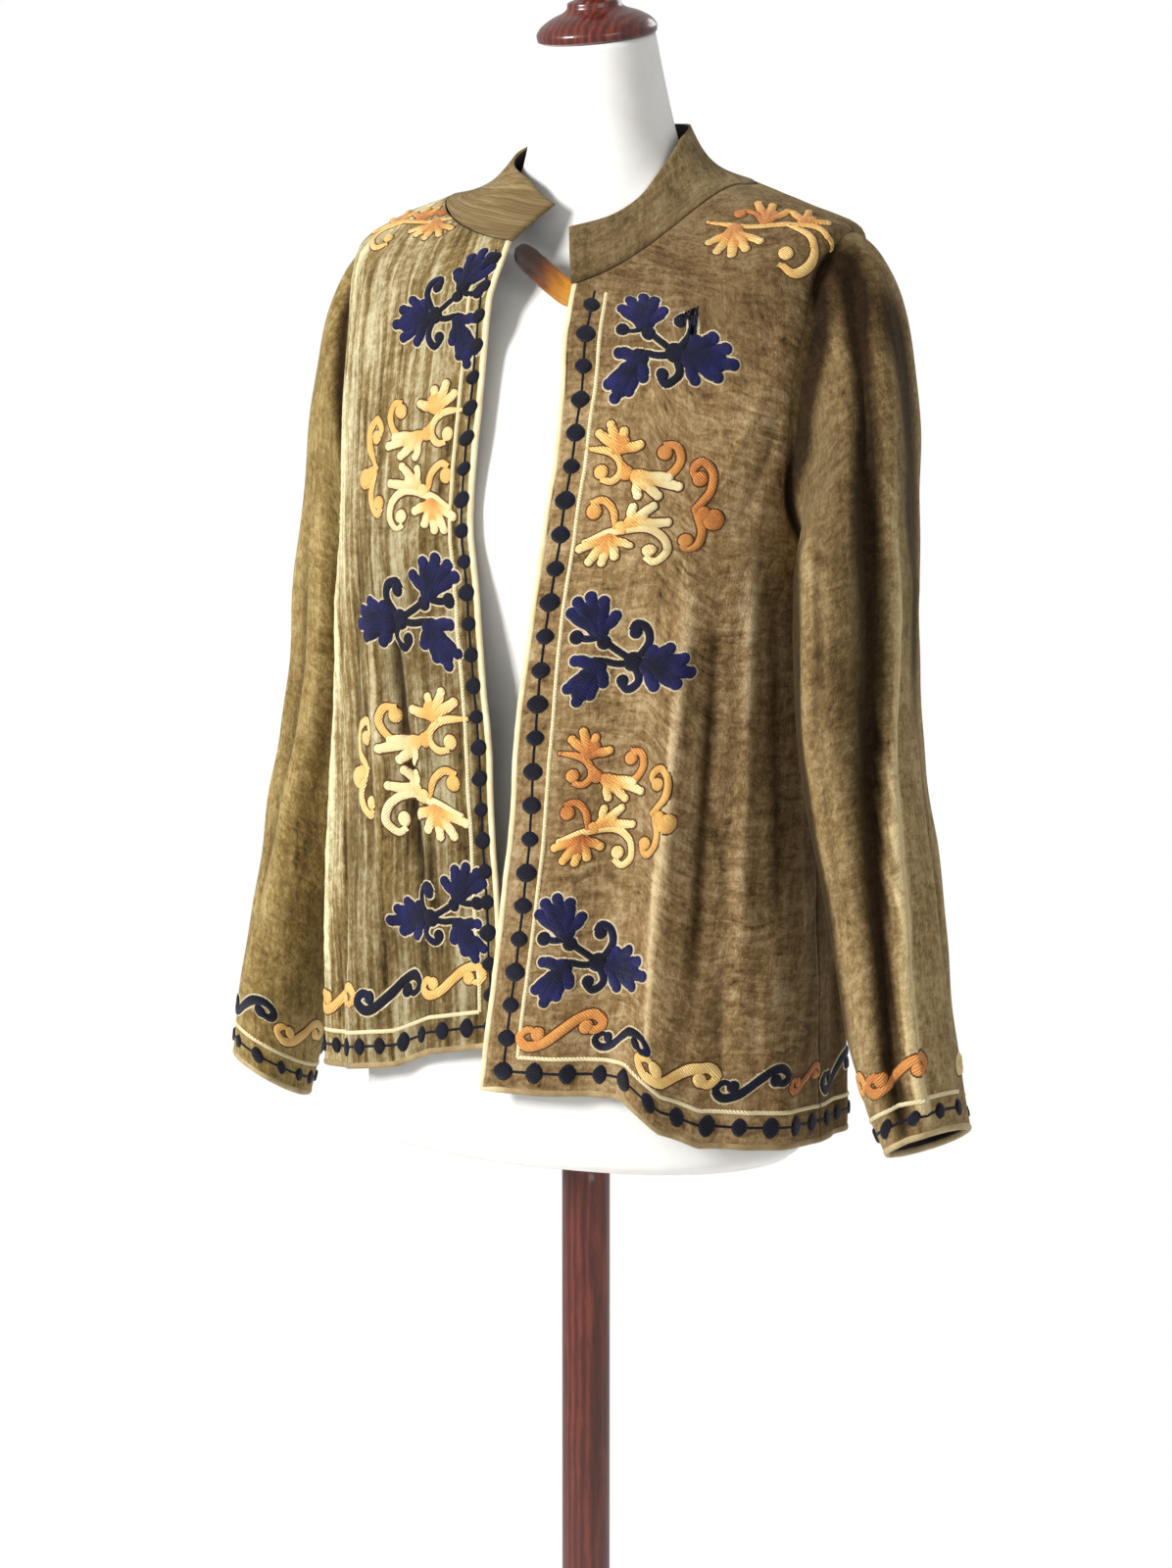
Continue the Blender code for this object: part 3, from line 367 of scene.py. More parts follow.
# Collar: (degrees round the neck, share of the height), half-width and rise in millimetres.
COLLAR_CREASES = (
    (((60, 0.1), (66, 0.6), (70, 0.95)), 5.0, -1.2),
    (((105, 0.05), (110, 0.5), (108, 0.9)), 5.0, 1.0),
    (((150, 0.1), (152, 0.6), (149, 0.95)), 5.0, -1.2),
    (((205, 0.05), (200, 0.5), (203, 0.9)), 5.0, -1.0),
    (((255, 0.1), (258, 0.6), (254, 0.95)), 5.0, 1.0),
    (((300, 0.1), (296, 0.6), (300, 0.9)), 5.0, -1.0),
)


def spline(points, per_span=8):
    """Points along a smooth curve through the given ones."""
    p = np.asarray(points, float)
    if len(p) < 3:
        t = np.linspace(0, 1, per_span + 1)[:, None]
        return p[0] * (1 - t) + p[-1] * t
    q = np.concatenate([[2 * p[0] - p[1]], p, [2 * p[-1] - p[-2]]])
    rows = []
    for k in range(len(p) - 1):
        t = np.linspace(0, 1, per_span, endpoint=False)[:, None]
        a, b, c, d = q[k], q[k + 1], q[k + 2], q[k + 3]
        rows.append(0.5 * (2 * b + (c - a) * t + (2 * a - 5 * b + 4 * c - d) * t**2 + (3 * b - a - 3 * c + d) * t**3))
    rows.append(p[-1:])
    return np.concatenate(rows)


def crease_rise(rows, deg, y, radius, stretch=1.0):
    """Rise of the cloth in metres, and its tone: painted light on the crests and painted shade in the troughs, from all
    the creases of a table at (deg, y).
    """
    total, tone = np.zeros_like(deg), np.zeros_like(deg)
    y = y * stretch
    for row in rows:
        path, width, rise = row[:3]
        gain = row[3] if len(row) > 3 else 1.0
        fade_in, fade_out = row[4] if len(row) > 4 else (0.3, 0.3)
        p = spline(path, 6)
        mean = p[:, 0].mean()
        x = np.radians((deg - mean + 180) % 360 - 180 + mean) * radius
        p = np.stack([np.radians(p[:, 0]) * radius, p[:, 1] * stretch], 1)
        width = width / 1000
        near = (x > p[:, 0].min() - 4 * width) & (x < p[:, 0].max() + 4 * width) & (y > p[:, 1].min() - 4 * width) & (y < p[:, 1].max() + 4 * width)
        if not near.any():
            continue
        q = np.stack([x[near], y[near]], 1)
        seg = np.diff(p, axis=0)
        length = np.linalg.norm(seg, axis=1)
        start = np.concatenate([[0], np.cumsum(length)])
        best, along = np.full(len(q), 1e9), np.zeros(len(q))
        for k in range(len(seg)):
            t = np.clip(((q - p[k]) @ seg[k]) / max(length[k] ** 2, 1e-12), 0, 1)
            d = np.linalg.norm(q - p[k] - t[:, None] * seg[k], axis=1)
            closer = d < best
            best = np.where(closer, d, best)
            along = np.where(closer, start[k] + t * length[k], along)
        t = along / start[-1]
        end = ease(t / fade_in) * ease((1 - t) / fade_out)
        g = (best / width) ** 2
        lift = rise / 1000 * (1 - 0.45 * g) * np.exp(-g) * end
        total[near] += lift
        # tone: painted shade in a trough, painted light on a crest, scaled by the row's gain
        tone[near] += lift / 0.0060 * gain
    return total, tone


def waver(x, y, size, seed):
    """Small slow unevenness of hanging cloth: a fixed sum of waves."""
    total = np.zeros_like(x)
    for k in range(7):
        a = 0.9 * k + seed
        total += np.sin((x * math.cos(a) + y * math.sin(a)) * 2 * math.pi / size * (0.7 + 0.23 * k) + 1.7 * k + seed) / 7
    return total


# ---------------------------------------------------------------- meshes
COLLECTION = bpy.context.scene.collection


def new_mesh(name, verts, quads, materials, mat_index=None, corner_uv=None, shade=None, tris=None):
    verts = np.asarray(verts, float) + SHIFT
    faces = [np.asarray(quads).reshape(-1, 4)]
    sizes = [np.full(len(faces[0]), 4)]
    loops = [faces[0].ravel()]
    if tris is not None and len(tris):
        tris = np.asarray(tris).reshape(-1, 3)
        loops.append(tris.ravel())
        sizes.append(np.full(len(tris), 3))
    loops, sizes = np.concatenate(loops).astype(np.int32), np.concatenate(sizes).astype(np.int32)
    mesh = bpy.data.meshes.new(name)
    mesh.vertices.add(len(verts))
    mesh.vertices.foreach_set("co", verts.astype(np.float32).ravel())
    mesh.loops.add(len(loops))
    mesh.loops.foreach_set("vertex_index", loops)
    mesh.polygons.add(len(sizes))
    starts = np.concatenate([[0], np.cumsum(sizes)[:-1]]).astype(np.int32)
    mesh.polygons.foreach_set("loop_start", starts)
    mesh.polygons.foreach_set("use_smooth", np.ones(len(sizes), bool))
    for m in materials:
        mesh.materials.append(m)
    if mat_index is not None:
        mesh.polygons.foreach_set("material_index", np.asarray(mat_index, np.int32))
    mesh.update(calc_edges=True)
    if corner_uv is not None:
        layer = mesh.uv_layers.new(name="cloth")
        layer.data.foreach_set("uv", np.asarray(corner_uv, np.float32).ravel())
    if shade is not None:
        att = mesh.attributes.new("shade", "FLOAT", "POINT")
        att.data.foreach_set("value", np.asarray(shade, np.float32).ravel())
    mesh.validate()
    obj = bpy.data.objects.new(name, mesh)
    COLLECTION.objects.link(obj)
    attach(obj, "root")
    return obj


def grid_normals(p, wrap, flip):
    if wrap:
        a = np.roll(p, -1, 0) - np.roll(p, 1, 0)
    else:
        a = np.gradient(p, axis=0)
    n = unit(np.cross(a, np.gradient(p, axis=1)))
    return -n if flip else n


def shell(name, mid, nor, thick, face_mat, back_mat, uv, shade, wrap=False, flip=False):
    """Closed thin wall from a grid of points [across, along]; face outside, dark reverse inside."""
    nu, nv = mid.shape[:2]
    outer, inner = mid + nor * thick / 2, mid - nor * thick / 2
    n = nu * nv
    i, j = np.meshgrid(np.arange(nu if wrap else nu - 1), np.arange(nv - 1), indexing="ij")
    i, j = i.ravel(), j.ravel()
    at = lambda a, b, k=0: k * n + (a % nu) * nv + b
    corners = [(i, j), (i + 1, j), (i + 1, j + 1), (i, j + 1)]
    if flip:
        corners = corners[::-1]
    out_q = np.stack([at(a, b) for a, b in corners], 1)
    in_q = np.stack([at(a, b, 1) for a, b in corners[::-1]], 1)
    quads, tags, uvs = [out_q, in_q], [np.zeros(len(out_q)), np.ones(len(in_q))], []
    if uv.shape[0] == nu and wrap:
        raise ValueError("a wrapped shell needs its closing column in uv")
    look = lambda a, b: uv[a, b]
    uvs.append(np.stack([look(a, b) for a, b in corners], 1))
    uvs.append(np.stack([look(a, b) for a, b in corners[::-1]], 1))

    def rim(a0, b0, a1, b1, turn):
        q = np.stack([at(a0, b0), at(a1, b1), at(a1, b1, 1), at(a0, b0, 1)], 1)
        w = np.stack([look(a0, b0), look(a1, b1), look(a1, b1), look(a0, b0)], 1)
        if turn != flip:
            q, w = q[:, ::-1], w[:, ::-1]
        quads.append(q)
        uvs.append(w)
        tags.append(np.zeros(len(q)))

    k = np.arange(nu if wrap else nu - 1)
    zero, last = np.zeros_like(k), np.full_like(k, nv - 1)
    rim(k, zero, k + 1, zero, True)
    rim(k, last, k + 1, last, False)
    if not wrap:
        k = np.arange(nv - 1)
        zero, last = np.zeros_like(k), np.full_like(k, nu - 1)
        rim(zero, k, zero, k + 1, False)
        rim(last, k, last, k + 1, True)
    return new_mesh(name, np.concatenate([outer.reshape(-1, 3), inner.reshape(-1, 3)]), np.concatenate(quads), [face_mat, back_mat],
                    np.concatenate(tags), np.concatenate(uvs).reshape(-1, 2), np.concatenate([shade.ravel(), shade.ravel()]))


def tube(name, path, dir_a, dir_b, ra, rb, material, around=10, closed=False, shade=0.5):
    """Rounded cord along a path; dir_a and dir_b are the two directions of its section at each point."""
    q = np.linspace(0, 2 * math.pi, around, endpoint=False)
    ring = path[:, None] + dir_a[:, None] * (ra * np.cos(q))[None, :, None] + dir_b[:, None] * (rb * np.sin(q))[None, :, None]
    k = len(path)
    i, j = np.meshgrid(np.arange(k if closed else k - 1), np.arange(around), indexing="ij")
    i, j = i.ravel(), j.ravel()
    at = lambda a, b: (a % k) * around + b % around
    quads = np.stack([at(i, j), at(i, j + 1), at(i + 1, j + 1), at(i + 1, j)], 1)
    step = np.linalg.norm(np.diff(np.concatenate([path, path[:1]]), axis=0), axis=1)
    run = np.concatenate([[0], np.cumsum(step)])
    uv = lambda a, b: np.stack([run[a], b / around * 2 * math.pi * (ra + rb) / 2], 1)
    uvs = np.stack([uv(i, j), uv(i, j + 1), uv(i + 1, j + 1), uv(i + 1, j)], 1).reshape(-1, 2)
    verts = ring.reshape(-1, 3)
    shade = np.repeat(np.broadcast_to(np.asarray(shade, float), (k,)), around)
    tris = []
    if not closed:
        shade = np.concatenate([shade, shade[:1], shade[-1:]])
        verts = np.concatenate([verts, path[:1], path[-1:]])
        for b in range(around):
            tris.append((k * around, at(0, b + 1), at(0, b)))
            tris.append((k * around + 1, at(k - 1, b), at(k - 1, b + 1)))
        extra = np.zeros((len(tris) * 3, 2))
        uvs = np.concatenate([uvs, extra])
    return new_mesh(name, verts, quads, [material], corner_uv=uvs, shade=shade, tris=tris)


def lathe(name, profile, centre, tilt, material, around=96, rows=80):
    prof = smooth(profile, np.linspace(0, 1, rows))
    q = np.linspace(0, 2 * math.pi, around, endpoint=False)
    r, h = prof[:, :1], prof[:, 1:]
    p = np.stack([r * np.sin(q), -r * np.cos(q), h + 0 * q], -1)
    y = p[..., 1] * math.cos(tilt) - p[..., 2] * math.sin(tilt)
    z = p[..., 1] * math.sin(tilt) + p[..., 2] * math.cos(tilt)
    p = np.stack([p[..., 0], y, z], -1) + np.asarray(centre)
    return revolve(name, p, material)


def revolve(name, rings, material):
    """Closed solid from rings [ring, round, 3], its ends closed by fans."""
    k, m = rings.shape[:2]
    verts = np.concatenate([rings.reshape(-1, 3), rings[:1].mean(1), rings[-1:].mean(1)])
    i, j = np.meshgrid(np.arange(k - 1), np.arange(m), indexing="ij")
    i, j = i.ravel(), j.ravel()
    at = lambda a, b: a * m + b % m
    quads = np.stack([at(i, j), at(i, j + 1), at(i + 1, j + 1), at(i + 1, j)], 1)
    b = np.arange(m)
    tris = np.concatenate([np.stack([np.full(m, k * m), at(0, b + 1), at(0, b)], 1), np.stack([np.full(m, k * m + 1), at(k - 1, b), at(k - 1, b + 1)], 1)])
    return new_mesh(name, verts, quads, [material], tris=tris)


# ---------------------------------------------------------------- materials
def rgb(text):
    c = [int(text[k:k + 2], 16) / 255 for k in (1, 3, 5)]
    return tuple(x / 12.92 if x <= 0.04045 else ((x + 0.055) / 1.055) ** 2.4 for x in c) + (1.0,)


class Graph:
    def __init__(self, name):
        self.mat = bpy.data.materials.new(name)
        self.mat.use_nodes = True
        self.tree = self.mat.node_tree
        self.bsdf = self.tree.nodes["Principled BSDF"]

    def put(self, socket, value):
        if isinstance(value, bpy.types.NodeSocket):
            self.tree.links.new(value, socket)
        else:
            socket.default_value = value

    def node(self, kind, settings=None, **inputs):
        n = self.tree.nodes.new(kind)
        for key, value in (settings or {}).items():
            setattr(n, key, value)
        for key, value in inputs.items():
            self.put(n.inputs[key.replace("_", " ")], value)
        return n

    def scaled(self, vector, x, y, z=1.0, move=(0, 0, 0)):
        n = self.node("ShaderNodeMapping", Vector=vector, Scale=(x, y, z), Location=move)
        return n.outputs[0]

    def noise(self, vector, scale=1.0, detail=3.0, rough=0.55, warp=0.0):
        n = self.node("ShaderNodeTexNoise", Vector=vector, Scale=scale, Detail=detail, Roughness=rough, Distortion=warp)
        return n.outputs["Fac"]

    def math(self, op, a, b=0.0, clamp=False):
        n = self.tree.nodes.new("ShaderNodeMath")
        n.operation, n.use_clamp = op, clamp
        self.put(n.inputs[0], a)
        self.put(n.inputs[1], b)
        return n.outputs[0]

    def blend_in(self, parts, base=0.5):
        """base + sum of weight * (value - middle)"""
        total = base
        for value, middle, weight in parts:
            total = self.math("ADD", total, self.math("MULTIPLY", self.math("SUBTRACT", value, middle), weight))
        return total

    def ramp(self, fac, stops):
        n = self.tree.nodes.new("ShaderNodeValToRGB")
        self.put(n.inputs[0], fac)
        ramp = n.color_ramp
        while len(ramp.elements) < len(stops):
            ramp.elements.new(0.5)
        for e, (pos, colour) in zip(ramp.elements, stops):
            e.position = pos
            e.color = rgb(colour) if isinstance(colour, str) else colour
        return n.outputs["Color"]

    def mix(self, fac, a, b, how="MIX"):
        n = self.tree.nodes.new("ShaderNodeMix")
        n.data_type, n.blend_type = "RGBA", how
        self.put(n.inputs["Factor"], fac)
        self.put(n.inputs[6], a)
        self.put(n.inputs[7], b)
        return n.outputs[2]

    def bump(self, height, distance, strength=1.0):
        n = self.node("ShaderNodeBump", Height=height, Distance=distance, Strength=strength)
        self.tree.links.new(n.outputs[0], self.bsdf.inputs["Normal"])

    def finish(self, colour, rough, **constants):
        self.put(self.bsdf.inputs["Base Color"], colour)
        self.put(self.bsdf.inputs["Roughness"], rough)
        for key, value in constants.items():
            self.bsdf.inputs[key.replace("_", " ")].default_value = value
        return self.mat


VELVET_DEPTH = 0.74


def velvet(name, dark, mid, pale, streaks, seed, lift=0.0, nap=1.0, crush=0.5):
    g = Graph(name)
    uv = g.node("ShaderNodeUVMap", {"uv_map": "cloth"}).outputs[0]
    shade = g.node("ShaderNodeAttribute", {"attribute_name": "shade"}).outputs["Fac"]
    streak = g.noise(g.scaled(uv, 165, 8.5, move=(seed, 0, 0)), 1.0, 5.0, 0.62, 0.35)
    broad = g.noise(g.scaled(uv, 42, 5.0, move=(0, seed, 0)), 1.0, 3.0, 0.55, 0.3)
    blotch = g.noise(g.scaled(uv, 26, 21, move=(seed * 2, seed, 0)), 1.0, 4.0, 0.6, 0.5)
    rub = g.noise(g.scaled(uv, 190, 120, move=(3, seed, 0)), 1.0, 4.0, 0.62, 0.4)
    level = g.noise(g.scaled(uv, 52, 170, move=(seed, 5, 0)), 1.0, 5.0, 0.65, 0.9)
    patch = g.noise(g.scaled(uv, 17, 14, move=(seed, seed * 3, 0)), 1.0, 2.0, 0.5)
    speck = g.noise(g.scaled(uv, 420, 260, move=(9, seed, 0)), 1.0, 3.0, 0.6, 0.2)
    pile = g.noise(g.scaled(uv, 900, 620), 1.0, 2.0, 0.6)
    # painted sheen: the colour is made paler where the cloth turns away from the view
    grazing_sheen = g.node("ShaderNodeLayerWeight", Blend=0.35).outputs["Facing"]
    rows = g.math("MULTIPLY", g.math("SUBTRACT", level, 0.5), g.math("MULTIPLY", patch, 2.2))
    # painted highlight: the colour turns pale where the shade attribute marks a lit crest
    lit = g.math("MAXIMUM", g.math("SUBTRACT", shade, 0.40), 0.0)
    value = g.blend_in([(streak, 0.5, 1.25 * streaks), (broad, 0.5, 0.75 * streaks), (blotch, 0.5, 0.60 * nap), (rub, 0.5, 0.75 * nap),
                        (rows, 0.0, 1.6 * crush), (speck, 0.5, 0.60 * nap), (pile, 0.5, 0.30 * nap), (grazing_sheen, 0.3, 0.16), (lit, 0.0, 0.75)], 0.5 + lift)
    stops = [(at, tuple(c * VELVET_DEPTH for c in rgb(tone)[:3]) + (1.0,)) for at, tone in ((0.05, dark), (0.46, mid), (0.95, pale))]
    # painted shade: the colour is darkened where the shade attribute marks troughs, seams and shaded sides
    painted_fold_shade = g.ramp(g.math("ADD", 0.5, g.math("MULTIPLY", shade, 0.5)), ((0.0, (0.07, 0.05, 0.035, 1)), (0.22, (0.30, 0.27, 0.23, 1)), (0.5, (0.76, 0.75, 0.74, 1)), (0.75, (0.93, 0.93, 0.92, 1)), (1.0, (1, 1, 1, 1))))
    colour = g.mix(1.0, g.ramp(value, stops), painted_fold_shade, "MULTIPLY")
    g.bump(g.blend_in([(pile, 0.5, 0.8), (rub, 0.5, 0.9), (rows, 0.0, 1.6 * crush), (streak, 0.5, 0.7 * streaks + 0.2)]), 0.0010, 0.8)
    g.bsdf.inputs["Sheen Weight"].default_value = 0.14
    g.bsdf.inputs["Sheen Roughness"].default_value = 0.45
    g.bsdf.inputs["Sheen Tint"].default_value = rgb(pale)
    return g.finish(colour, g.math("ADD", 0.80, g.math("MULTIPLY", rub, 0.15)), Specular_IOR_Level=0.12)


def plain_cloth(name, dark, mid, pale, across, along, depth, sheen=0.1, rough=0.85):
    """Woven or ribbed cloth in its own UV metres."""
    g = Graph(name)
    uv = g.node("ShaderNodeUVMap", {"uv_map": "cloth"}).outputs[0]
    rib = g.node("ShaderNodeTexWave", {"bands_direction": "X", "wave_profile": "SIN"}, Vector=g.scaled(uv, across, along), Scale=1.0, Distortion=1.6, Detail=2.0, Detail_Scale=1.5).outputs["Fac"]
    fuzz = g.noise(g.scaled(uv, 800, 800), 1.0, 3.0, 0.6)
    tone = g.noise(g.scaled(uv, 45, 45), 1.0, 3.0, 0.6)
    value = g.blend_in([(rib, 0.5, 0.35), (fuzz, 0.5, 0.5), (tone, 0.5, 0.9)])
    colour = g.ramp(value, ((0.1, dark), (0.5, mid), (0.9, pale)))
    g.bump(g.blend_in([(rib, 0.5, 1.0), (fuzz, 0.5, 0.5)]), depth, 0.8)
    g.bsdf.inputs["Sheen Weight"].default_value = sheen
    return g.finish(colour, rough, Specular_IOR_Level=0.2)


def piping(name):
    """Bound edge: cream down the open fronts, darker and browner where the shade falls along hems and cuffs."""
    g = Graph(name)
    uv = g.node("ShaderNodeUVMap", {"uv_map": "cloth"}).outputs[0]
    light = g.node("ShaderNodeAttribute", {"attribute_name": "shade"}).outputs["Fac"]
    twill = g.node("ShaderNodeTexWave", {"bands_direction": "DIAGONAL", "wave_profile": "SIN"}, Vector=g.scaled(uv, 420, 420), Scale=1.0, Distortion=1.5, Detail=2.0).outputs["Fac"]
    fuzz = g.noise(g.scaled(uv, 700, 700), 1.0, 3.0, 0.6)
    worn = g.noise(g.scaled(uv, 60, 60), 1.0, 4.0, 0.6)
    value = g.blend_in([(light, 0.5, 0.75), (twill, 0.5, 0.10), (fuzz, 0.5, 0.25), (worn, 0.5, 0.55)])
    colour = g.ramp(value, ((0.0, "#4e3b22"), (0.3, "#9a8258"), (0.6, "#d9c596"), (0.85, "#f3e6bf"), (1.0, "#fff9e2")))
    g.bump(g.blend_in([(twill, 0.5, 0.8), (fuzz, 0.5, 0.6)]), 0.0004, 0.7)
    g.bsdf.inputs["Sheen Weight"].default_value = 0.12
    return g.finish(colour, 0.7, Specular_IOR_Level=0.2)


def thread(name, stops, rough=0.5, gloss=0.35, lean=0.5):
    """Chain-stitched thread: tone from the stitch, its own tint and a slow drift along the work."""
    g = Graph(name)
    uv = g.node("ShaderNodeUVMap", {"uv_map": "cloth"}).outputs[0]
    tint = g.node("ShaderNodeAttribute", {"attribute_name": "shade"}).outputs["Fac"]
    stitch = g.node("ShaderNodeTexWave", {"bands_direction": "DIAGONAL", "wave_profile": "SIN"}, Vector=g.scaled(uv, 260, 330), Scale=1.0, Distortion=2.2, Detail=1.5, Detail_Scale=1.2).outputs["Fac"]
    fuzz = g.noise(g.scaled(uv, 1100, 1100), 1.0, 2.0, 0.6)
    drift = g.noise(g.scaled(uv, 70, 70), 1.0, 2.0, 0.5)
    value = g.blend_in([(tint, 0.5, 1.0), (stitch, 0.5, 0.16), (fuzz, 0.5, 0.14), (drift, 0.5, lean)])
    colour = g.ramp(value, stops)
    g.bump(g.blend_in([(stitch, 0.5, 1.0), (fuzz, 0.5, 0.35)]), 0.0007, 0.9)
    g.bsdf.inputs["Sheen Weight"].default_value = 0.08
    return g.finish(colour, rough, Specular_IOR_Level=gloss)


RIGHT_VELVET = velvet("velvet_right_front", "#4a3819", "#a48954", "#fff3c4", 1.50, 3.1, 0.02, 0.9, 0.2)
LEFT_VELVET = velvet("velvet_left_front", "#4a3920", "#aa895b", "#ecd2a2", 0.36, 7.7, 0.02, 1.0, 0.60)
SLEEVE_VELVET = velvet("velvet_sleeve_left", "#46371f", "#a6895a", "#ecd4a0", 0.34, 12.4, 0.02, 1.0, 0.35)
SLEEVE_R_VELVET = velvet("velvet_sleeve_right", "#46361a", "#a3874f", "#eed594", 0.48, 18.9, 0.02, 1.0, 0.3)
BACK_VELVET = velvet("velvet_back", "#3e2f18", "#987a4c", "#dec38f", 0.40, 24.3, 0.0, 1.0, 0.3)
COLLAR_VELVET = velvet("velvet_collar", "#3e2f1a", "#957c52", "#dcc494", 0.36, 31.8, 0.0, 0.9, 0.3)
REVERSE = plain_cloth("dark_reverse", "#060505", "#120f0d", "#231e19", 900, 20, 0.0003)
BINDING = piping("cream_binding")
NAVY = thread("navy_thread", ((0.0, "#020208"), (0.36, "#07071c"), (0.68, "#151548"), (1.0, "#2c2d78")), 0.6, 0.2, 0.75)
GOLD = thread("gold_thread", ((0.0, "#6e3516"), (0.25, "#b4622e"), (0.5, "#dd9246"), (0.75, "#f4c56c"), (1.0, "#fcecb4")), 0.5, 0.35, 0.34)
# brown outline stitching round the gold work, dark enough to stand also as painted shadow of the raised gold on the
# velvet
BROWN = thread("brown_outline", ((0.0, "#24140a"), (0.5, "#5a381b"), (1.0, "#8a6236")), 0.7, 0.2, 0.5)
PALE = thread("pale_outline", ((0.0, "#a8916a"), (0.5, "#d6c49c"), (1.0, "#f4e9c8")), 0.7, 0.2, 0.6)
CREAM = thread("cream_thread", ((0.0, "#b79c66"), (0.5, "#ead8a4"), (1.0, "#fff8dc")), 0.6, 0.25, 0.35)


def jersey():
    g = Graph("form_jersey")
    place = g.node("ShaderNodeTexCoord").outputs["Object"]
    knit = g.node("ShaderNodeTexWave", {"bands_direction": "Z", "wave_profile": "SIN"}, Vector=place, Scale=520.0, Distortion=1.2, Detail=1.0).outputs["Fac"]
    soft = g.noise(place, 26.0, 3.0, 0.55)
    fuzz = g.noise(place, 1400.0, 2.0, 0.6)
    colour = g.ramp(g.blend_in([(soft, 0.5, 0.9), (fuzz, 0.5, 0.3), (knit, 0.5, 0.12)]), ((0.0, "#e6e2d8"), (0.5, "#f8f6f1"), (1.0, "#ffffff")))
    g.bump(g.blend_in([(knit, 0.5, 0.7), (fuzz, 0.5, 0.5)]), 0.0004, 0.5)
    g.bsdf.inputs["Sheen Weight"].default_value = 0.1
    return g.finish(colour, 0.85, Specular_IOR_Level=0.2)


def wood(name, dark, mid, pale, around=9.0):
    g = Graph(name)
    place = g.node("ShaderNodeTexCoord").outputs["Object"]
    grain = g.noise(g.scaled(place, 260, 260, 26), 1.0, 5.0, 0.6, 1.2)
    pores = g.noise(g.scaled(place, 1500, 1500, 160), 1.0, 2.0, 0.6)
    rings = g.node("ShaderNodeTexWave", {"bands_direction": "X", "wave_profile": "SIN"}, Vector=g.scaled(place, 1, 1, 0.15), Scale=60.0, Distortion=5.0, Detail=3.0, Detail_Scale=1.6).outputs["Fac"]
    colour = g.ramp(g.blend_in([(grain, 0.5, 0.8), (pores, 0.5, 0.25), (rings, 0.5, 0.35)]), ((0.05, dark), (0.5, mid), (0.95, pale)))
    g.bump(g.blend_in([(pores, 0.5, 0.5), (grain, 0.5, 0.4)]), 0.0002, 0.5)
    g.bsdf.inputs["Coat Weight"].default_value = 0.8
    g.bsdf.inputs["Coat Roughness"].default_value = 0.12
    return g.finish(colour, g.math("ADD", 0.25, g.math("MULTIPLY", pores, 0.2)))


def amber():
    g = Graph("amber_satin")
    uv = g.node("ShaderNodeUVMap", {"uv_map": "cloth"}).outputs[0]
    split = g.node("ShaderNodeSeparateXYZ", Vector=uv)
    # painted shadow darkens the tab's first end, under the collar on the wearer's right, and painted light brightens it
    # towards the other end
    along = g.math("MULTIPLY", split.outputs[0], 17.0)
    tone = g.noise(g.scaled(uv, 90, 300), 1.0, 4.0, 0.6, 0.4)
    rib = g.node("ShaderNodeTexWave", {"bands_direction": "Y", "wave_profile": "SIN"}, Vector=g.scaled(uv, 60, 1500), Scale=1.0, Distortion=1.5, Detail=2.0).outputs["Fac"]
    colour = g.ramp(g.blend_in([(along, 0.64, 1.6), (tone, 0.5, 0.55), (rib, 0.5, 0.2)]), ((0.0, "#2c1404"), (0.32, "#7a3f0c"), (0.6, "#c07812"), (0.85, "#e29a22"), (1.0, "#f5c055")))
    g.bump(g.blend_in([(rib, 0.5, 0.8), (tone, 0.5, 0.5)]), 0.0004, 0.7)
    g.bsdf.inputs["Sheen Weight"].default_value = 0.15
    return g.finish(colour, 0.52, Specular_IOR_Level=0.3)


JERSEY = jersey()
CAP_WOOD = wood("cap_wood", "#260706", "#5a1a10", "#8a3a1c")
STAND_WOOD = wood("stand_wood", "#2a0d08", "#562015", "#7c3a22")
AMBER = amber()


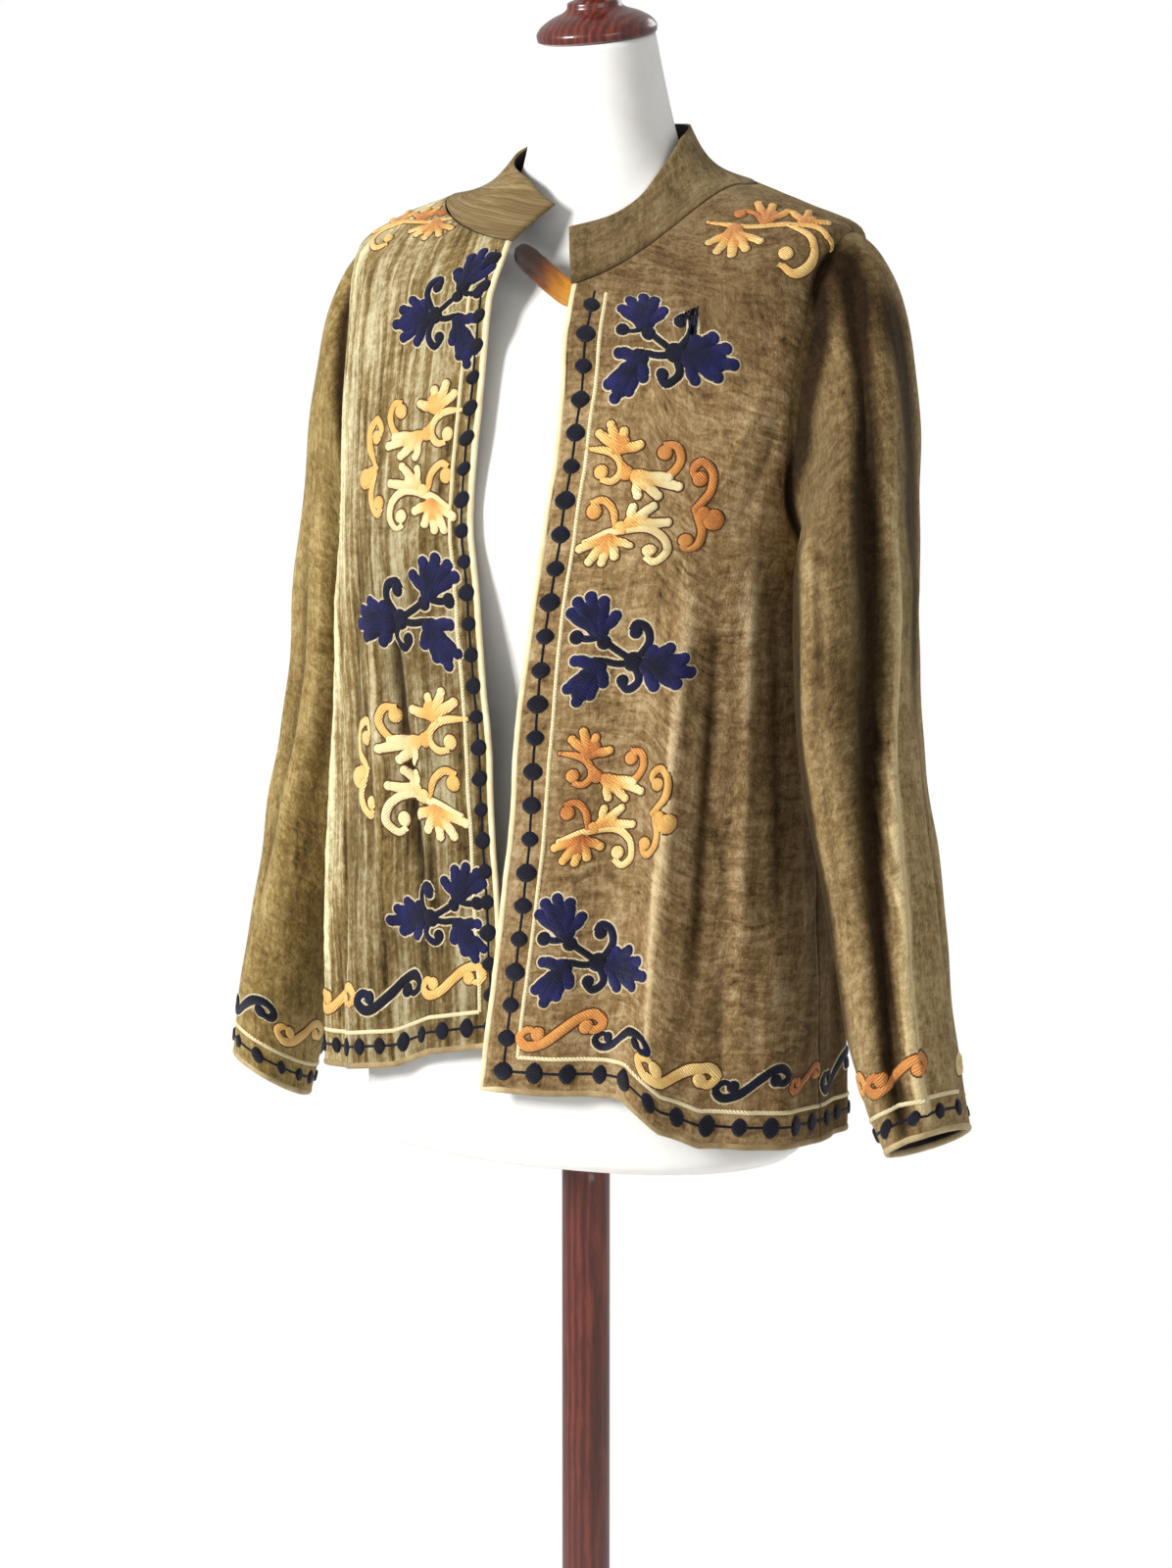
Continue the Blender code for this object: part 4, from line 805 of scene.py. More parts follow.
# ---------------------------------------------------------------- a panel's own chart, to sew on it in metres
class Chart:
    """u runs from the panel's first column, v from its first row, both along the cloth."""

    def __init__(self, mid, nor, thick):
        self.mid, self.nor, self.thick = mid, nor, thick
        seg = np.linalg.norm(np.diff(mid, axis=0), axis=-1)
        self.u = np.concatenate([np.zeros((1, mid.shape[1])), np.cumsum(seg, 0)])
        seg = np.linalg.norm(np.diff(mid, axis=1), axis=-1)
        self.v = np.concatenate([np.zeros((mid.shape[0], 1)), np.cumsum(seg, 1)], 1)
        self.grad = [np.gradient(self.u, axis=0), np.gradient(self.u, axis=1), np.gradient(self.v, axis=0), np.gradient(self.v, axis=1)]

    def levelled(self, z_line, v_there):
        """The same panel with v counted from a level line, so that work on it isn't skewed by the hem's steps."""
        other = Chart(self.mid, self.nor, self.thick)
        for k in range(other.v.shape[0]):
            other.v[k] += v_there - np.interp(z_line, self.mid[k, :, 2], self.v[k])
        other.grad = [np.gradient(other.u, axis=0), np.gradient(other.u, axis=1), np.gradient(other.v, axis=0), np.gradient(other.v, axis=1)]
        return other

    def square_frame(self, at, reach=0.012):
        """Matrix from metres across (away from the open edge) and up on the cloth to the chart's u and v, near a point."""
        at = np.asarray(at, float)
        q = self.place(np.array([at, at + [reach, 0], at - [reach, 0], at + [0, reach], at - [0, reach]]), 0.0)
        pu, pv = (q[1] - q[2]) / (2 * reach), (q[3] - q[4]) / (2 * reach)
        n = unit(np.cross(pu, pv))
        up = unit(np.array([0, 0, 1.0]) - n * n[2])
        across = np.cross(up, n)
        if np.dot(across, pu) < 0:
            across = -across
        e1, e2 = unit(pu), None
        e2 = unit(pv - e1 * np.dot(pv, e1))
        basis = np.array([[np.dot(pu, e1), np.dot(pv, e1)], [np.dot(pu, e2), np.dot(pv, e2)]])
        want = np.array([[np.dot(across, e1), np.dot(up, e1)], [np.dot(across, e2), np.dot(up, e2)]])
        return np.linalg.solve(basis, want)

    def sample(self, field, i, j):
        nu, nv = field.shape[:2]
        i, j = np.clip(i, 0, nu - 1.0001), np.clip(j, 0, nv - 1.0001)
        a, b = i.astype(int), j.astype(int)
        f, g = i - a, j - b
        if field.ndim == 3:
            f, g = f[:, None], g[:, None]
        return (field[a, b] * (1 - f) + field[a + 1, b] * f) * (1 - g) + (field[a, b + 1] * (1 - f) + field[a + 1, b + 1] * f) * g

    def find(self, uv):
        flat = np.stack([self.u.ravel(), self.v.ravel()], 1).astype(np.float32)
        i, j = np.zeros(len(uv)), np.zeros(len(uv))
        nv = self.u.shape[1]
        for k in range(0, len(uv), 1500):
            q = uv[k:k + 1500].astype(np.float32)
            d = (q[:, :1] - flat[None, :, 0]) ** 2 + (q[:, 1:] - flat[None, :, 1]) ** 2
            near = d.argmin(1)
            i[k:k + 1500], j[k:k + 1500] = near // nv, near % nv
        for _ in range(3):
            ru, rv = uv[:, 0] - self.sample(self.u, i, j), uv[:, 1] - self.sample(self.v, i, j)
            a, b, c, d = (self.sample(f, i, j) for f in self.grad)
            det = a * d - b * c
            det = np.where(np.abs(det) < 1e-9, 1e-9, det)
            i = i + np.clip((ru * d - rv * b) / det, -3, 3)
            j = j + np.clip((rv * a - ru * c) / det, -3, 3)
        return i, j

    def place(self, uv, lift):
        i, j = self.find(np.asarray(uv, float))
        nor = unit(self.sample(self.nor, i, j))
        return self.sample(self.mid, i, j) + nor * (self.thick / 2 + lift * np.ones(len(nor)))[:, None]


class Work:
    """Embroidery gathered for one panel and one thread, drawn flat in the panel's metres and then laid on the cloth."""

    def __init__(self):
        self.uv, self.lift, self.quads, self.tris, self.tint, self.n = [], [], [], [], [], 0

    def add(self, uv, lift, quads, tris, tint):
        self.uv.append(uv)
        self.lift.append(lift)
        self.quads += [tuple(int(x) + self.n for x in q) for q in quads]
        self.tris += [tuple(int(x) + self.n for x in t) for t in tris]
        self.tint.append(np.full(len(uv), float(tint)) if np.isscalar(tint) else tint)
        self.n += len(uv)

    def stroke(self, pts, width, height=0.0012, tint=0.5, ends=(0.55, 0.8), step=0.0014):
        """pts in metres on the chart."""
        p = spline(pts, 10)
        run = np.concatenate([[0], np.cumsum(np.linalg.norm(np.diff(p, axis=0), axis=1))])
        count = max(3, int(run[-1] / step) + 1)
        t = np.linspace(0, run[-1], count)
        p = np.stack([np.interp(t, run, p[:, 0]), np.interp(t, run, p[:, 1])], 1)
        tan = unit(np.gradient(p, axis=0))
        side = np.stack([-tan[:, 1], tan[:, 0]], 1)
        x = t / run[-1]
        w = width / 2 * (ends[0] + (1 - ends[0]) * ease(x / 0.25)) * (ends[1] + (1 - ends[1]) * ease((1 - x) / 0.2))
        across = np.array([-1.0, -0.66, 0.0, 0.66, 1.0])
        rise = np.array([-0.35, 0.72, 1.0, 0.72, -0.35])
        uv = (p[:, None] + side[:, None] * (w[:, None] * across[None])[..., None]).reshape(-1, 2)
        h = height * np.minimum(1.0, w / (width / 2) + 0.15)
        lift = (h[:, None] * rise[None]).ravel()
        quads = [(a * 5 + b, a * 5 + b + 1, (a + 1) * 5 + b + 1, (a + 1) * 5 + b) for a in range(count - 1) for b in range(4)]
        if not np.isscalar(tint):
            tint = np.repeat(tint[0] + (tint[1] - tint[0]) * ease(x), 5)
        self.add(uv, lift, quads, [], tint)

    def blob(self, outline, centre, height=0.0014, tint=0.5):
        m = len(outline)
        scales, rises = (1.0, 0.86, 0.58, 0.28), (-0.35, 0.72, 1.0, 1.02)
        centre = np.asarray(centre, float)
        uv = np.concatenate([centre + (outline - centre) * s for s in scales] + [centre[None]])
        lift = np.concatenate([np.full(m, height * r) for r in rises] + [[height]])
        quads = [(k * m + a, k * m + (a + 1) % m, (k + 1) * m + (a + 1) % m, (k + 1) * m + a) for k in range(3) for a in range(m)]
        tris = [(3 * m + a, 3 * m + (a + 1) % m, 4 * m) for a in range(m)]
        self.add(uv, lift, quads, tris, tint)

    def ball(self, centre, radius, height=0.0015, tint=0.5, points=14):
        q = np.linspace(0, 2 * math.pi, points, endpoint=False)
        self.blob(np.asarray(centre) + radius * np.stack([np.cos(q), np.sin(q)], 1), centre, height, tint)

    def take(self, other, from_chart, to_chart):
        """Adds work drawn on another chart of the same panel."""
        i, j = from_chart.find(np.concatenate(other.uv))
        uv = np.stack([to_chart.sample(to_chart.u, i, j), to_chart.sample(to_chart.v, i, j)], 1)
        self.add(uv, np.concatenate(other.lift), other.quads, other.tris, np.concatenate(other.tint))

    def build(self, name, chart, material, flip):
        uv = np.concatenate(self.uv)
        verts = chart.place(uv, np.concatenate(self.lift))
        quads, tris = np.array(self.quads).reshape(-1, 4), np.array(self.tris, int).reshape(-1, 3)
        if flip:
            quads, tris = quads[:, ::-1], tris[:, ::-1]
        corner = np.concatenate([uv[quads.ravel()], uv[tris.ravel()]])
        return new_mesh(name, verts, quads, [material], corner_uv=corner, shade=np.concatenate(self.tint), tris=tris)


# Motifs in millimetres: first away from the open edge, second up. Traditional curls and palmette leaves, drawn for this part.
# Stroke: path, width, round end (or None), tone. Palm: foot, tips of the petals, petal width, tone at the foot, tone at the tips.
NAVY_SPRIG = {
    "strokes": (
        (((2, -5), (11, 0), (17, 9), (15, 18), (7, 21), (3, 16)), 8.0, (6.5, 15.0, 5.4), 0.40),
        (((2, -7), (8, -14), (8, -21), (0, -26), (-6, -22)), 7.6, (-4.0, -20.0, 5.2), 0.40),
        (((-22, 12), (-12, 4), (3, -5)), 6.4, None, 0.30),
        (((-22, -5), (-9, -8), (4, -7)), 6.4, None, 0.30),
        (((-20, 11), (-30, 9), (-38, 10)), 6.4, (-39, 10, 6.0), 0.35),
    ),
    "balls": ((4, -6, 8.0, 0.35), (-18, 7, 6.0, 0.35), (-27, 26, 11.5, 0.55), (26, -9, 11.0, 0.55), (-31, -20, 9.5, 0.55), (36, -11, 9.5, 0.6), (-36, -29, 8.0, 0.6)),
    "palms": (
        ((-20, 9), ((-43, 27), (-38, 35), (-28, 39), (-18, 36), (-9, 26)), 11.6, 0.45, 0.66),
        ((9, -9), ((20, 2), (33, 4), (43, -3), (49, -13), (38, -21), (21, -23)), 11.6, 0.45, 0.66),
        ((-19, -5), ((-46, -27), (-39, -36), (-29, -31), (-19, -22), (-40, -7)), 11.0, 0.45, 0.64),
    ),
}
GOLD_SPRIG = {
    "strokes": (
        (((-43, 32), (-28, 30), (-20, 24), (-19, 16), (-25, 10), (-33, 11)), 6.2, (-33, 16, 5.4), 0.70),
        (((-24, 29), (-12, 16), (-1, 12.5), (14, 14), (23, 24), (21, 34), (12, 35)), 7.0, (12.5, 30, 5.6), 0.46),
        (((-22, -21), (-23, -10), (-30, -3), (-39, -5)), 6.2, (-37, -10.5, 5.8), 0.58),
        (((-44, -31), (-24, -24), (-1, -21), (12, -28), (14, -40), (6, -47), (-1, -43)), 7.0, (2, -38, 5.6), 0.88),
        (((35, 10), (31.5, 18), (38, 24), (45, 17), (44, 5), (38, -3), (32, -9)), 6.8, (36.5, 12.5, 5.4), 0.38),
        (((33, -9), (38, -22), (35, -33), (28, -38), (24, -33)), 6.8, (27, -30, 5.4), 0.42),
    ),
    "balls": ((46, -15, 8.0, 0.36), (39, -11, 5.6, 0.34), (-15, 16, 5.4, 0.5), (-17, -21, 5.2, 0.7), (-18, 37, 6.4, 0.5), (1, 9, 6.0, 0.62), (-29, -35, 7.4, 0.5), (-3, -14, 5.0, 0.75)),
    "palms": (
        ((-20, 29), ((-34, 42), (-25.5, 48), (-16, 44), (-5, 35)), 8.2, 0.48, 0.74),
        ((-12, 17), ((-6, 1), (8, 1), (22, 7), (15, 13)), 8.0, 0.52, 0.98),
        ((-15, -20), ((-9, -7), (5, -6), (15, -17)), 7.8, 0.62, 0.98),
        ((-25, -25), ((-47, -36), (-40, -45), (-31, -46), (-22, -42), (-12, -34)), 8.2, 0.40, 0.86),
    ),
}
SHOULDER_SPRIG = {
    "strokes": (
        (((-43, 5), (-18, 2), (9, 4), (31, 2), (43, -7)), 6.2, None, 0.72),
        (((11, 3), (27, -5), (30, -17), (20, -26), (9, -22)), 7.0, (12.5, -16, 5.6), 0.78),
        (((-6, 4), (-12, 13), (-22, 16)), 6.0, (-23, 13, 5.2), 0.35),
    ),
    "balls": ((-24, 0, 6.4, 0.45), (-20, -8, 7.4, 0.5), (-1, 13, 5.4, 0.45), (25, 9, 5.2, 0.5)),
    "palms": (
        ((-26, 2), ((-39, -10), (-32, -16), (-22, -18), (-14, -14), (-6, -9)), 8.2, 0.40, 0.80),
        ((-5, 4), ((-12, 23), (-2, 21), (9, 16)), 8.0, 0.36, 0.66),
        ((20, 4), ((13, 15), (24, 18), (37, 8)), 7.6, 0.42, 0.7),
    ),
}
SCROLL = {
    "strokes": (
        (((-14, -1), (-22, 1.5), (-27.5, -3.5), (-22, -9.5), (-11, -7.5), (0, 0), (11, 7.5), (21, 9.5), (27.5, 4), (23, -1), (15, 1)), 8.0, None, 0.5),
    ),
    "balls": ((-15, -1.5, 5.0, 0.5), (16, 1.5, 5.0, 0.5)),
    "palms": (),
}


def sew(work, edge, motif, at, scale=1.0, turn=0.0, mirror=False, tint=None, height=0.0013, size=(1.0, 1.0), margin=0.0010, frame2=None, shift=0.0, pull=0.0):
    """Adds a motif to a panel's work, at a point of the chart in metres, with a flat outline of another thread under
    it; the brown outline under gold work also stands for the work's painted shadow.
    """
    a = math.radians(turn)
    frame2 = np.eye(2) if frame2 is None else frame2

    def put(p):
        p = np.atleast_2d(np.asarray(p, float)) * [size[0], (-1 if mirror else 1) * size[1]]
        p = scale / 1000 * np.stack([p[:, 0] * math.cos(a) - p[:, 1] * math.sin(a), p[:, 0] * math.sin(a) + p[:, 1] * math.cos(a)], 1)
        return np.asarray(at) + p @ frame2.T

    unit_mm = scale / 1000 * math.sqrt(size[0] * size[1])
    low = 0.00040

    def tone(t, x):
        # a sprig's own colouring: all of it shifted, and its far side pulled paler or darker
        return tint if tint is not None else float(np.clip(t + shift + pull * np.clip(x / 40, -1, 1), 0, 1))

    def spot(c, radius, t):
        c = put(c[:2])[0]
        work.ball(c, radius * unit_mm, height * 1.15, t)
        edge.ball(c, radius * unit_mm + margin, low, 0.5)

    for path, width, ball, t in motif["strokes"]:
        t = tone(t, np.mean([q[0] for q in path]))
        work.stroke(put(path), width * unit_mm, height, t)
        edge.stroke(put(path), width * unit_mm + 2 * margin, low, 0.5, step=0.0024)
        spot(path[0], width * 0.27, t)
        if ball:
            spot(ball, ball[2], t)
        else:
            spot(path[-1], width * 0.40, t)
    for x, y, radius, t in motif["balls"]:
        spot((x, y), radius, tone(t, x))
    for foot, tips, width, t0, t1 in motif["palms"]:
        foot = np.asarray(foot, float)
        t0, t1 = tone(t0, foot[0]), tone(t1, foot[0])
        middle = np.mean(tips, axis=0)
        spot(foot * 0.8 + middle * 0.2, width * 0.5, t0)
        for k, tip in enumerate(tips):
            tip = np.asarray(tip, float)
            # petals leave the foot together and part towards their tips
            path = [foot, foot + (tip - foot) * 0.30 + (middle - foot) * 0.16, foot + (tip - foot) * 0.72 + (middle - foot) * 0.03, tip]
            high = height * (1.16 + 0.22 * (k % 2))
            work.stroke(put(path), width * unit_mm, high, (t0, t1), ends=(0.42, 0.86))
            edge.stroke(put(path), width * unit_mm + 2 * margin, low, 0.5, ends=(0.42, 0.9), step=0.0024)
            work.ball(put(tip)[0], width * 0.43 * unit_mm, high * 0.94, t1)
            edge.ball(put(tip)[0], width * 0.43 * unit_mm + margin, low, 0.5)


def band(cream, dark, path, pitch, inner, dot=0.0052, phase=0.5):
    """A thin dark line with diamond dots along a path; inner is the pale line beside it, or None."""
    p = np.asarray(path, float)
    run = np.concatenate([[0], np.cumsum(np.linalg.norm(np.diff(p, axis=0), axis=1))])
    dark.stroke(p, 0.0020, 0.0007, 0.25, (1.0, 1.0), 0.0022)
    count = int(run[-1] / pitch)
    for k in range(count + 1):
        t = (k + phase) * pitch
        if t > run[-1] - 0.004:
            break
        c = np.array([np.interp(t, run, p[:, 0]), np.interp(t, run, p[:, 1])])
        e = np.array([np.interp(t + 0.002, run, p[:, 0]), np.interp(t + 0.002, run, p[:, 1])]) - c
        e = unit(e)
        wob = 1 + 0.10 * math.sin(2.3 * k + 40 * pitch)
        q = np.linspace(0, 2 * math.pi, 16, endpoint=False)
        r = dot * wob * (0.93 + 0.07 * np.abs(np.cos(2 * q)))
        x, y = r * 0.90 * np.cos(q), r * 1.06 * np.sin(q)
        dark.blob(c + x[:, None] * e + y[:, None] * np.array([-e[1], e[0]]), c, 0.0017, 0.28)
    if inner is not None:
        cream.stroke(np.asarray(inner, float), 0.0030, 0.0010, 0.60, (1.0, 1.0), 0.0022)


# ---------------------------------------------------------------- the jacket's pieces
DECLARE = []     # (piece, flat size, area, rests on, pieces with it)


def trim(chart_mid, i_edge, i_next, amount):
    """Moves one edge column inwards along the cloth."""
    v = unit(chart_mid[i_next] - chart_mid[i_edge])
    chart_mid[i_edge] = chart_mid[i_edge] + v * amount


def area_of(mid, wrap=False):
    p = np.concatenate([mid, mid[:1]]) if wrap else mid
    a, b = np.diff(p[:, :-1], axis=0), np.diff(p[:-1], axis=1)
    return float(np.linalg.norm(np.cross(a, b), axis=-1).sum())


def border_path(chart, rows, bottom):
    """Path on the chart at a tabled distance from the open edge, from the hem band up to the neck."""
    v = np.linspace(bottom, chart.v[0, -1] - 0.003, 60)
    rows = np.asarray(rows, float)
    return np.stack([smooth_lookup(rows[:, 0], rows[:, 1], v), v], 1)


FINE_LOW = np.linspace(0, UNDERARM, 96)
FINE_ARM = UNDERARM + (SHOULDER - UNDERARM) * (1 - np.cos(np.linspace(0, math.pi, 41))) / 2
FINE_UP = np.linspace(SHOULDER, 1.0, 16)
LEVELS = np.concatenate([FINE_LOW, FINE_ARM[1:], FINE_UP[1:]])


def seam_fade(theta, level):
    """1 away from the armhole, 0 at its edge, so that the sleeve meets the body."""
    half = armhole_half(level)
    gap = np.abs(np.abs((np.degrees(theta) + 180) % 360 - 180) - 90) - np.degrees(half)
    fade = ease(gap / 9.0)
    inside = (level > UNDERARM - 0.03) & (level < SHOULDER + 0.04)
    return np.where(inside, fade, 1.0)


def seam_sink(phi):
    """Depth of the groove where a sleeve meets the body, by angle round the armhole from its shoulder side."""
    deg = np.degrees(phi) % 360
    return 0.0062 * ease((deg - 22) / 26) * ease((172 - deg) / 40) + 0.0038 * ease((deg - 200) / 40) * ease((334 - deg) / 30)


def seam_shift(phi):
    """How far the groove lies outside the seam, on the sleeve."""
    deg = np.degrees(phi) % 360
    return 0.0105 * ease((deg - 44) / 34) * ease((146 - deg) / 34)


def ring_phi(level, front):
    """Angle round the armhole at a level, for the front or the back edge."""
    t = np.clip((level - UNDERARM) / (SHOULDER - UNDERARM), 0, 1)
    a = np.arccos(np.clip(2 * t - 1, -1, 1))
    return a if front else 2 * math.pi - a


def body_sink(theta, level):
    """The same groove on the body, fading away from the armhole."""
    deg = np.abs((np.degrees(theta) + 180) % 360 - 180)
    front = deg < 90
    phi = np.where(front, ring_phi(level, True), ring_phi(level, False))
    gap = np.clip(np.abs(deg - 90) - np.degrees(armhole_half(level)), 0, 90) / 57.3 * 0.175
    inside = (level > UNDERARM) & (level < SHOULDER)
    return np.where(inside, seam_sink(phi) * np.exp(-(((gap + seam_shift(phi)) / 0.0095) ** 2)), 0.0)


def body_panel(side, theta):
    level = np.broadcast_to(LEVELS, theta.shape)
    base, nor = body_point(theta, level, side), body_normal(theta, level, side)
    deg = np.degrees(theta)
    rise, tone = crease_rise(BODY_CREASES, deg, base[..., 2], 0.17)
    slow = 0.0011 * waver(theta * 0.17, base[..., 2] * 0.55, 0.055, 0.4) + 0.0005 * waver(theta * 0.17, base[..., 2], 0.021, 2.2)
    top = ease((1.0 - level) / 0.06)
    fade = seam_fade(theta, level) * top
    sink = body_sink(theta, level)
    rise = rise * fade + slow * fade - sink
    mid = base + nor * rise[..., None]
    # painted shade and light from the creases and the slow waver, and painted shade along the groove at the armhole
    # seam
    tone = tone * fade + slow * fade / 0.008 - 1.25 * ease(sink / 0.0045)
    if side == "right":
        # painted light along the crest at the side, painted shade over the lower part towards the opening
        tone = tone + 0.72 * np.exp(-(((deg + 66) / 13) ** 2)) - 0.30 * ease((deg + 52) / 20) * ease((1.22 - base[..., 2]) / 0.12)
    if side == "left":
        # the band's ground and the broad lit fold below the waist
        tone = tone + 0.12 * np.exp(-(((deg - 39 - 6 * (base[..., 2] - 0.95) / 0.15) / 7) ** 2)) * ease((1.10 - base[..., 2]) / 0.12)
        # the shoulder falls away from the light; the chest catches it; the side lies in the sleeve's shade
        tone = tone - 0.34 * ease((base[..., 2] - 1.235) / 0.06) + 0.42 * np.exp(-(((base[..., 2] - 1.135) / 0.085) ** 2)) - 0.40 * ease((deg - 70) / 16) * ease((1.17 - base[..., 2]) / 0.10)
    if side == "back":
        # painted shade on the back under the armholes, where the sleeves hang against it
        tone = tone - 0.45 * (ease((122 - deg) / 16) + ease((deg - 238) / 16)) * ease((1.17 - base[..., 2]) / 0.10)
    return mid, np.clip(tone, -1.0, 1.0)


fronts = {}
for side in ("left", "right"):
    sign = 1 if side == "left" else -1
    start = edge_theta(LEVELS, side)
    end = sign * (math.pi / 2 - armhole_half(LEVELS))
    f = np.linspace(0, 1, 73)[:, None]
    theta = start + (end - start) * f
    mid, shade = body_panel(side, theta)
    # the open edge rolls very slightly and unevenly
    z = mid[..., 2]
    mid[..., 1] -= 0.0008 * np.sin(z * 61 + sign) * np.exp(-(f * 0.25 / 0.014) ** 2)
    flip = side == "right"
    nor = grid_normals(mid, False, flip)
    chart = Chart(mid, nor, CLOTH)
    fronts[side] = (chart, np.degrees(theta))
    trimmed = mid.copy()
    trim(trimmed, 0, 1, BINDING_W * 0.85)
    trim(trimmed, -1, -2, SEAM / 2)
    up = unit(trimmed[:, 1] - trimmed[:, 0])
    trimmed[:, 0] += up * BINDING_W * 0.55
    uv = np.stack([chart.u, chart.v], -1)
    piece = shell("front_%s_velvet" % side, trimmed, nor, CLOTH, RIGHT_VELVET if side == "right" else LEFT_VELVET, REVERSE, uv, shade, flip=flip)
    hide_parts("front_" + side)
    # bound edge
    out_col = -unit(mid[1] - mid[0])[::-1]
    out_row = -unit(mid[:, 1] - mid[:, 0])
    path = np.concatenate([mid[0][::-1], mid[1:, 0]])
    nrm = np.concatenate([nor[0][::-1], nor[1:, 0]])
    out = np.concatenate([out_col, out_row[1:]])
    corner = mid.shape[1] - 1
    for k in range(-2, 3):
        w = 0.5 + 0.125 * k
        out[corner + k] = unit(out_col[-1] * (1 - w) + out_row[0] * w)
    cord = tube("binding_front_%s_cord" % side, path - out * BINDING_W * 0.52, out, nrm, BINDING_W * 0.56, 0.00155, BINDING,
                shade=np.concatenate([np.full(corner + 1, 0.82), np.linspace(0.7, 0.30, 5), np.full(len(path) - corner - 6, 0.24)]))
    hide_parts("binding_front_" + side)
    DECLARE.append([piece, mid, False, ["form_torso"], [cord]])

half = armhole_half(LEVELS)
f = np.linspace(0, 1, 113)[:, None]
theta = (math.pi / 2 + half) * (1 - f) + (3 * math.pi / 2 - half) * f
mid, shade = body_panel("back", theta)
nor = grid_normals(mid, False, False)
back_chart = Chart(mid, nor, CLOTH)
trimmed = mid.copy()
trim(trimmed, 0, 1, SEAM / 2)
trim(trimmed, -1, -2, SEAM / 2)
up = unit(trimmed[:, 1] - trimmed[:, 0])
trimmed[:, 0] += up * BINDING_W * 0.55
piece = shell("back_velvet", trimmed, nor, CLOTH, BACK_VELVET, REVERSE, np.stack([back_chart.u, back_chart.v], -1), shade)
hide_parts("back")
out = -unit(mid[:, 1] - mid[:, 0])
cord = tube("binding_back_cord", mid[:, 0] - out * BINDING_W * 0.52, out, nor[:, 0], BINDING_W * 0.56, 0.00155, BINDING, shade=0.24)
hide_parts("binding_back")
DECLARE.append([piece, mid, False, ["form_torso"], [cord]])


# ---------------------------------------------------------------- sleeves
def sleeve(side):
    sign = 1 if side == "left" else -1
    table = SLEEVE_LEFT if side == "left" else SLEEVE_RIGHT
    down, up_ = FINE_ARM[::-1], FINE_ARM[1:-1]
    front_t, back_t = sign * (math.pi / 2 - armhole_half(down)), sign * (math.pi / 2 + armhole_half(up_))
    back_abs = back_t if side == "left" else back_t + 2 * math.pi
    ring = np.concatenate([body_point(front_t, down, side), body_point(back_abs, up_, "back")])
    ring_n = np.concatenate([body_normal(front_t, down, side), body_normal(back_abs, up_, "back")])
    m = len(ring)
    centre = ring.mean(0)
    into = unit(np.cross(ring_n, np.roll(ring, -1, 0) - np.roll(ring, 1, 0)))
    into = into * np.sign(np.sum(into * (centre - ring), -1, keepdims=True))
    loop = np.concatenate([ring, ring[:1]])
    dist = np.concatenate([[0], np.cumsum(np.linalg.norm(np.diff(loop, axis=0), axis=1))])
    n_front = len(down)
    under = dist[n_front - 1]
    phi = np.where(np.arange(m) < n_front, math.pi * dist[:m] / under, math.pi + math.pi * (dist[:m] - under) / (dist[-1] - under))

    def section(row):
        x, y, z, thin, wide, tilt, yaw, pitch = row
        a, b, c = math.radians(tilt), math.radians(yaw), math.radians(pitch)
        e1 = np.array([math.cos(a), 0, math.sin(a)])
        e2 = np.array([0.0, -math.cos(c), math.sin(c)])
        e2 = unit(e2 - e1 * np.dot(e1, e2))
        axis = np.cross(e1, e2)
        f1, f2 = e1 * math.cos(b) - e2 * math.sin(b), e2 * math.cos(b) + e1 * math.sin(b)
        p = np.array([x, y, z]) + thin * np.cos(phi)[:, None] * f1 + wide * np.sin(phi)[:, None] * f2
        return p * np.array([sign, 1, 1]), axis * np.array([sign, 1, 1])

    first, axis0 = section(table[0])
    slope = np.where(into[:, 2:] < 0, 0.60, 0.15) * into[:, 2:]
    lead = unit(np.concatenate([np.full((m, 1), float(sign)), 0.25 * into[:, 1:2], slope], 1))
    start = ring + into * SEAM
    reach = np.linalg.norm(first - start, axis=1, keepdims=True)
    rings = []
    for t in np.linspace(0, 1, 45)[:-1] ** 1.15:
        h = (2 * t**3 - 3 * t**2 + 1, t**3 - 2 * t**2 + t, 3 * t**2 - 2 * t**3, t**3 - t**2)
        rings.append(h[0] * start + h[1] * lead * reach * CAP_PULL[side] + h[2] * first + h[3] * axis0 * reach)
    for row in smooth(table, np.linspace(0, 1, 100)):
        rings.append(section(row)[0])
    grid = np.stack(rings)
    # the groove at the seam, the same as the body's there
    far = np.linalg.norm(grid - grid[:1], axis=-1)
    turn = np.concatenate([ring_phi(down, True), ring_phi(up_, False)])
    grid = grid - ring_n[None] * (seam_sink(turn)[None] * np.exp(-(((far - seam_shift(turn)[None]) / 0.0095) ** 2)))[..., None]
    grid = np.swapaxes(grid, 0, 1)[:, ::-1]      # [round, cuff to shoulder]
    return grid, phi, ring_n


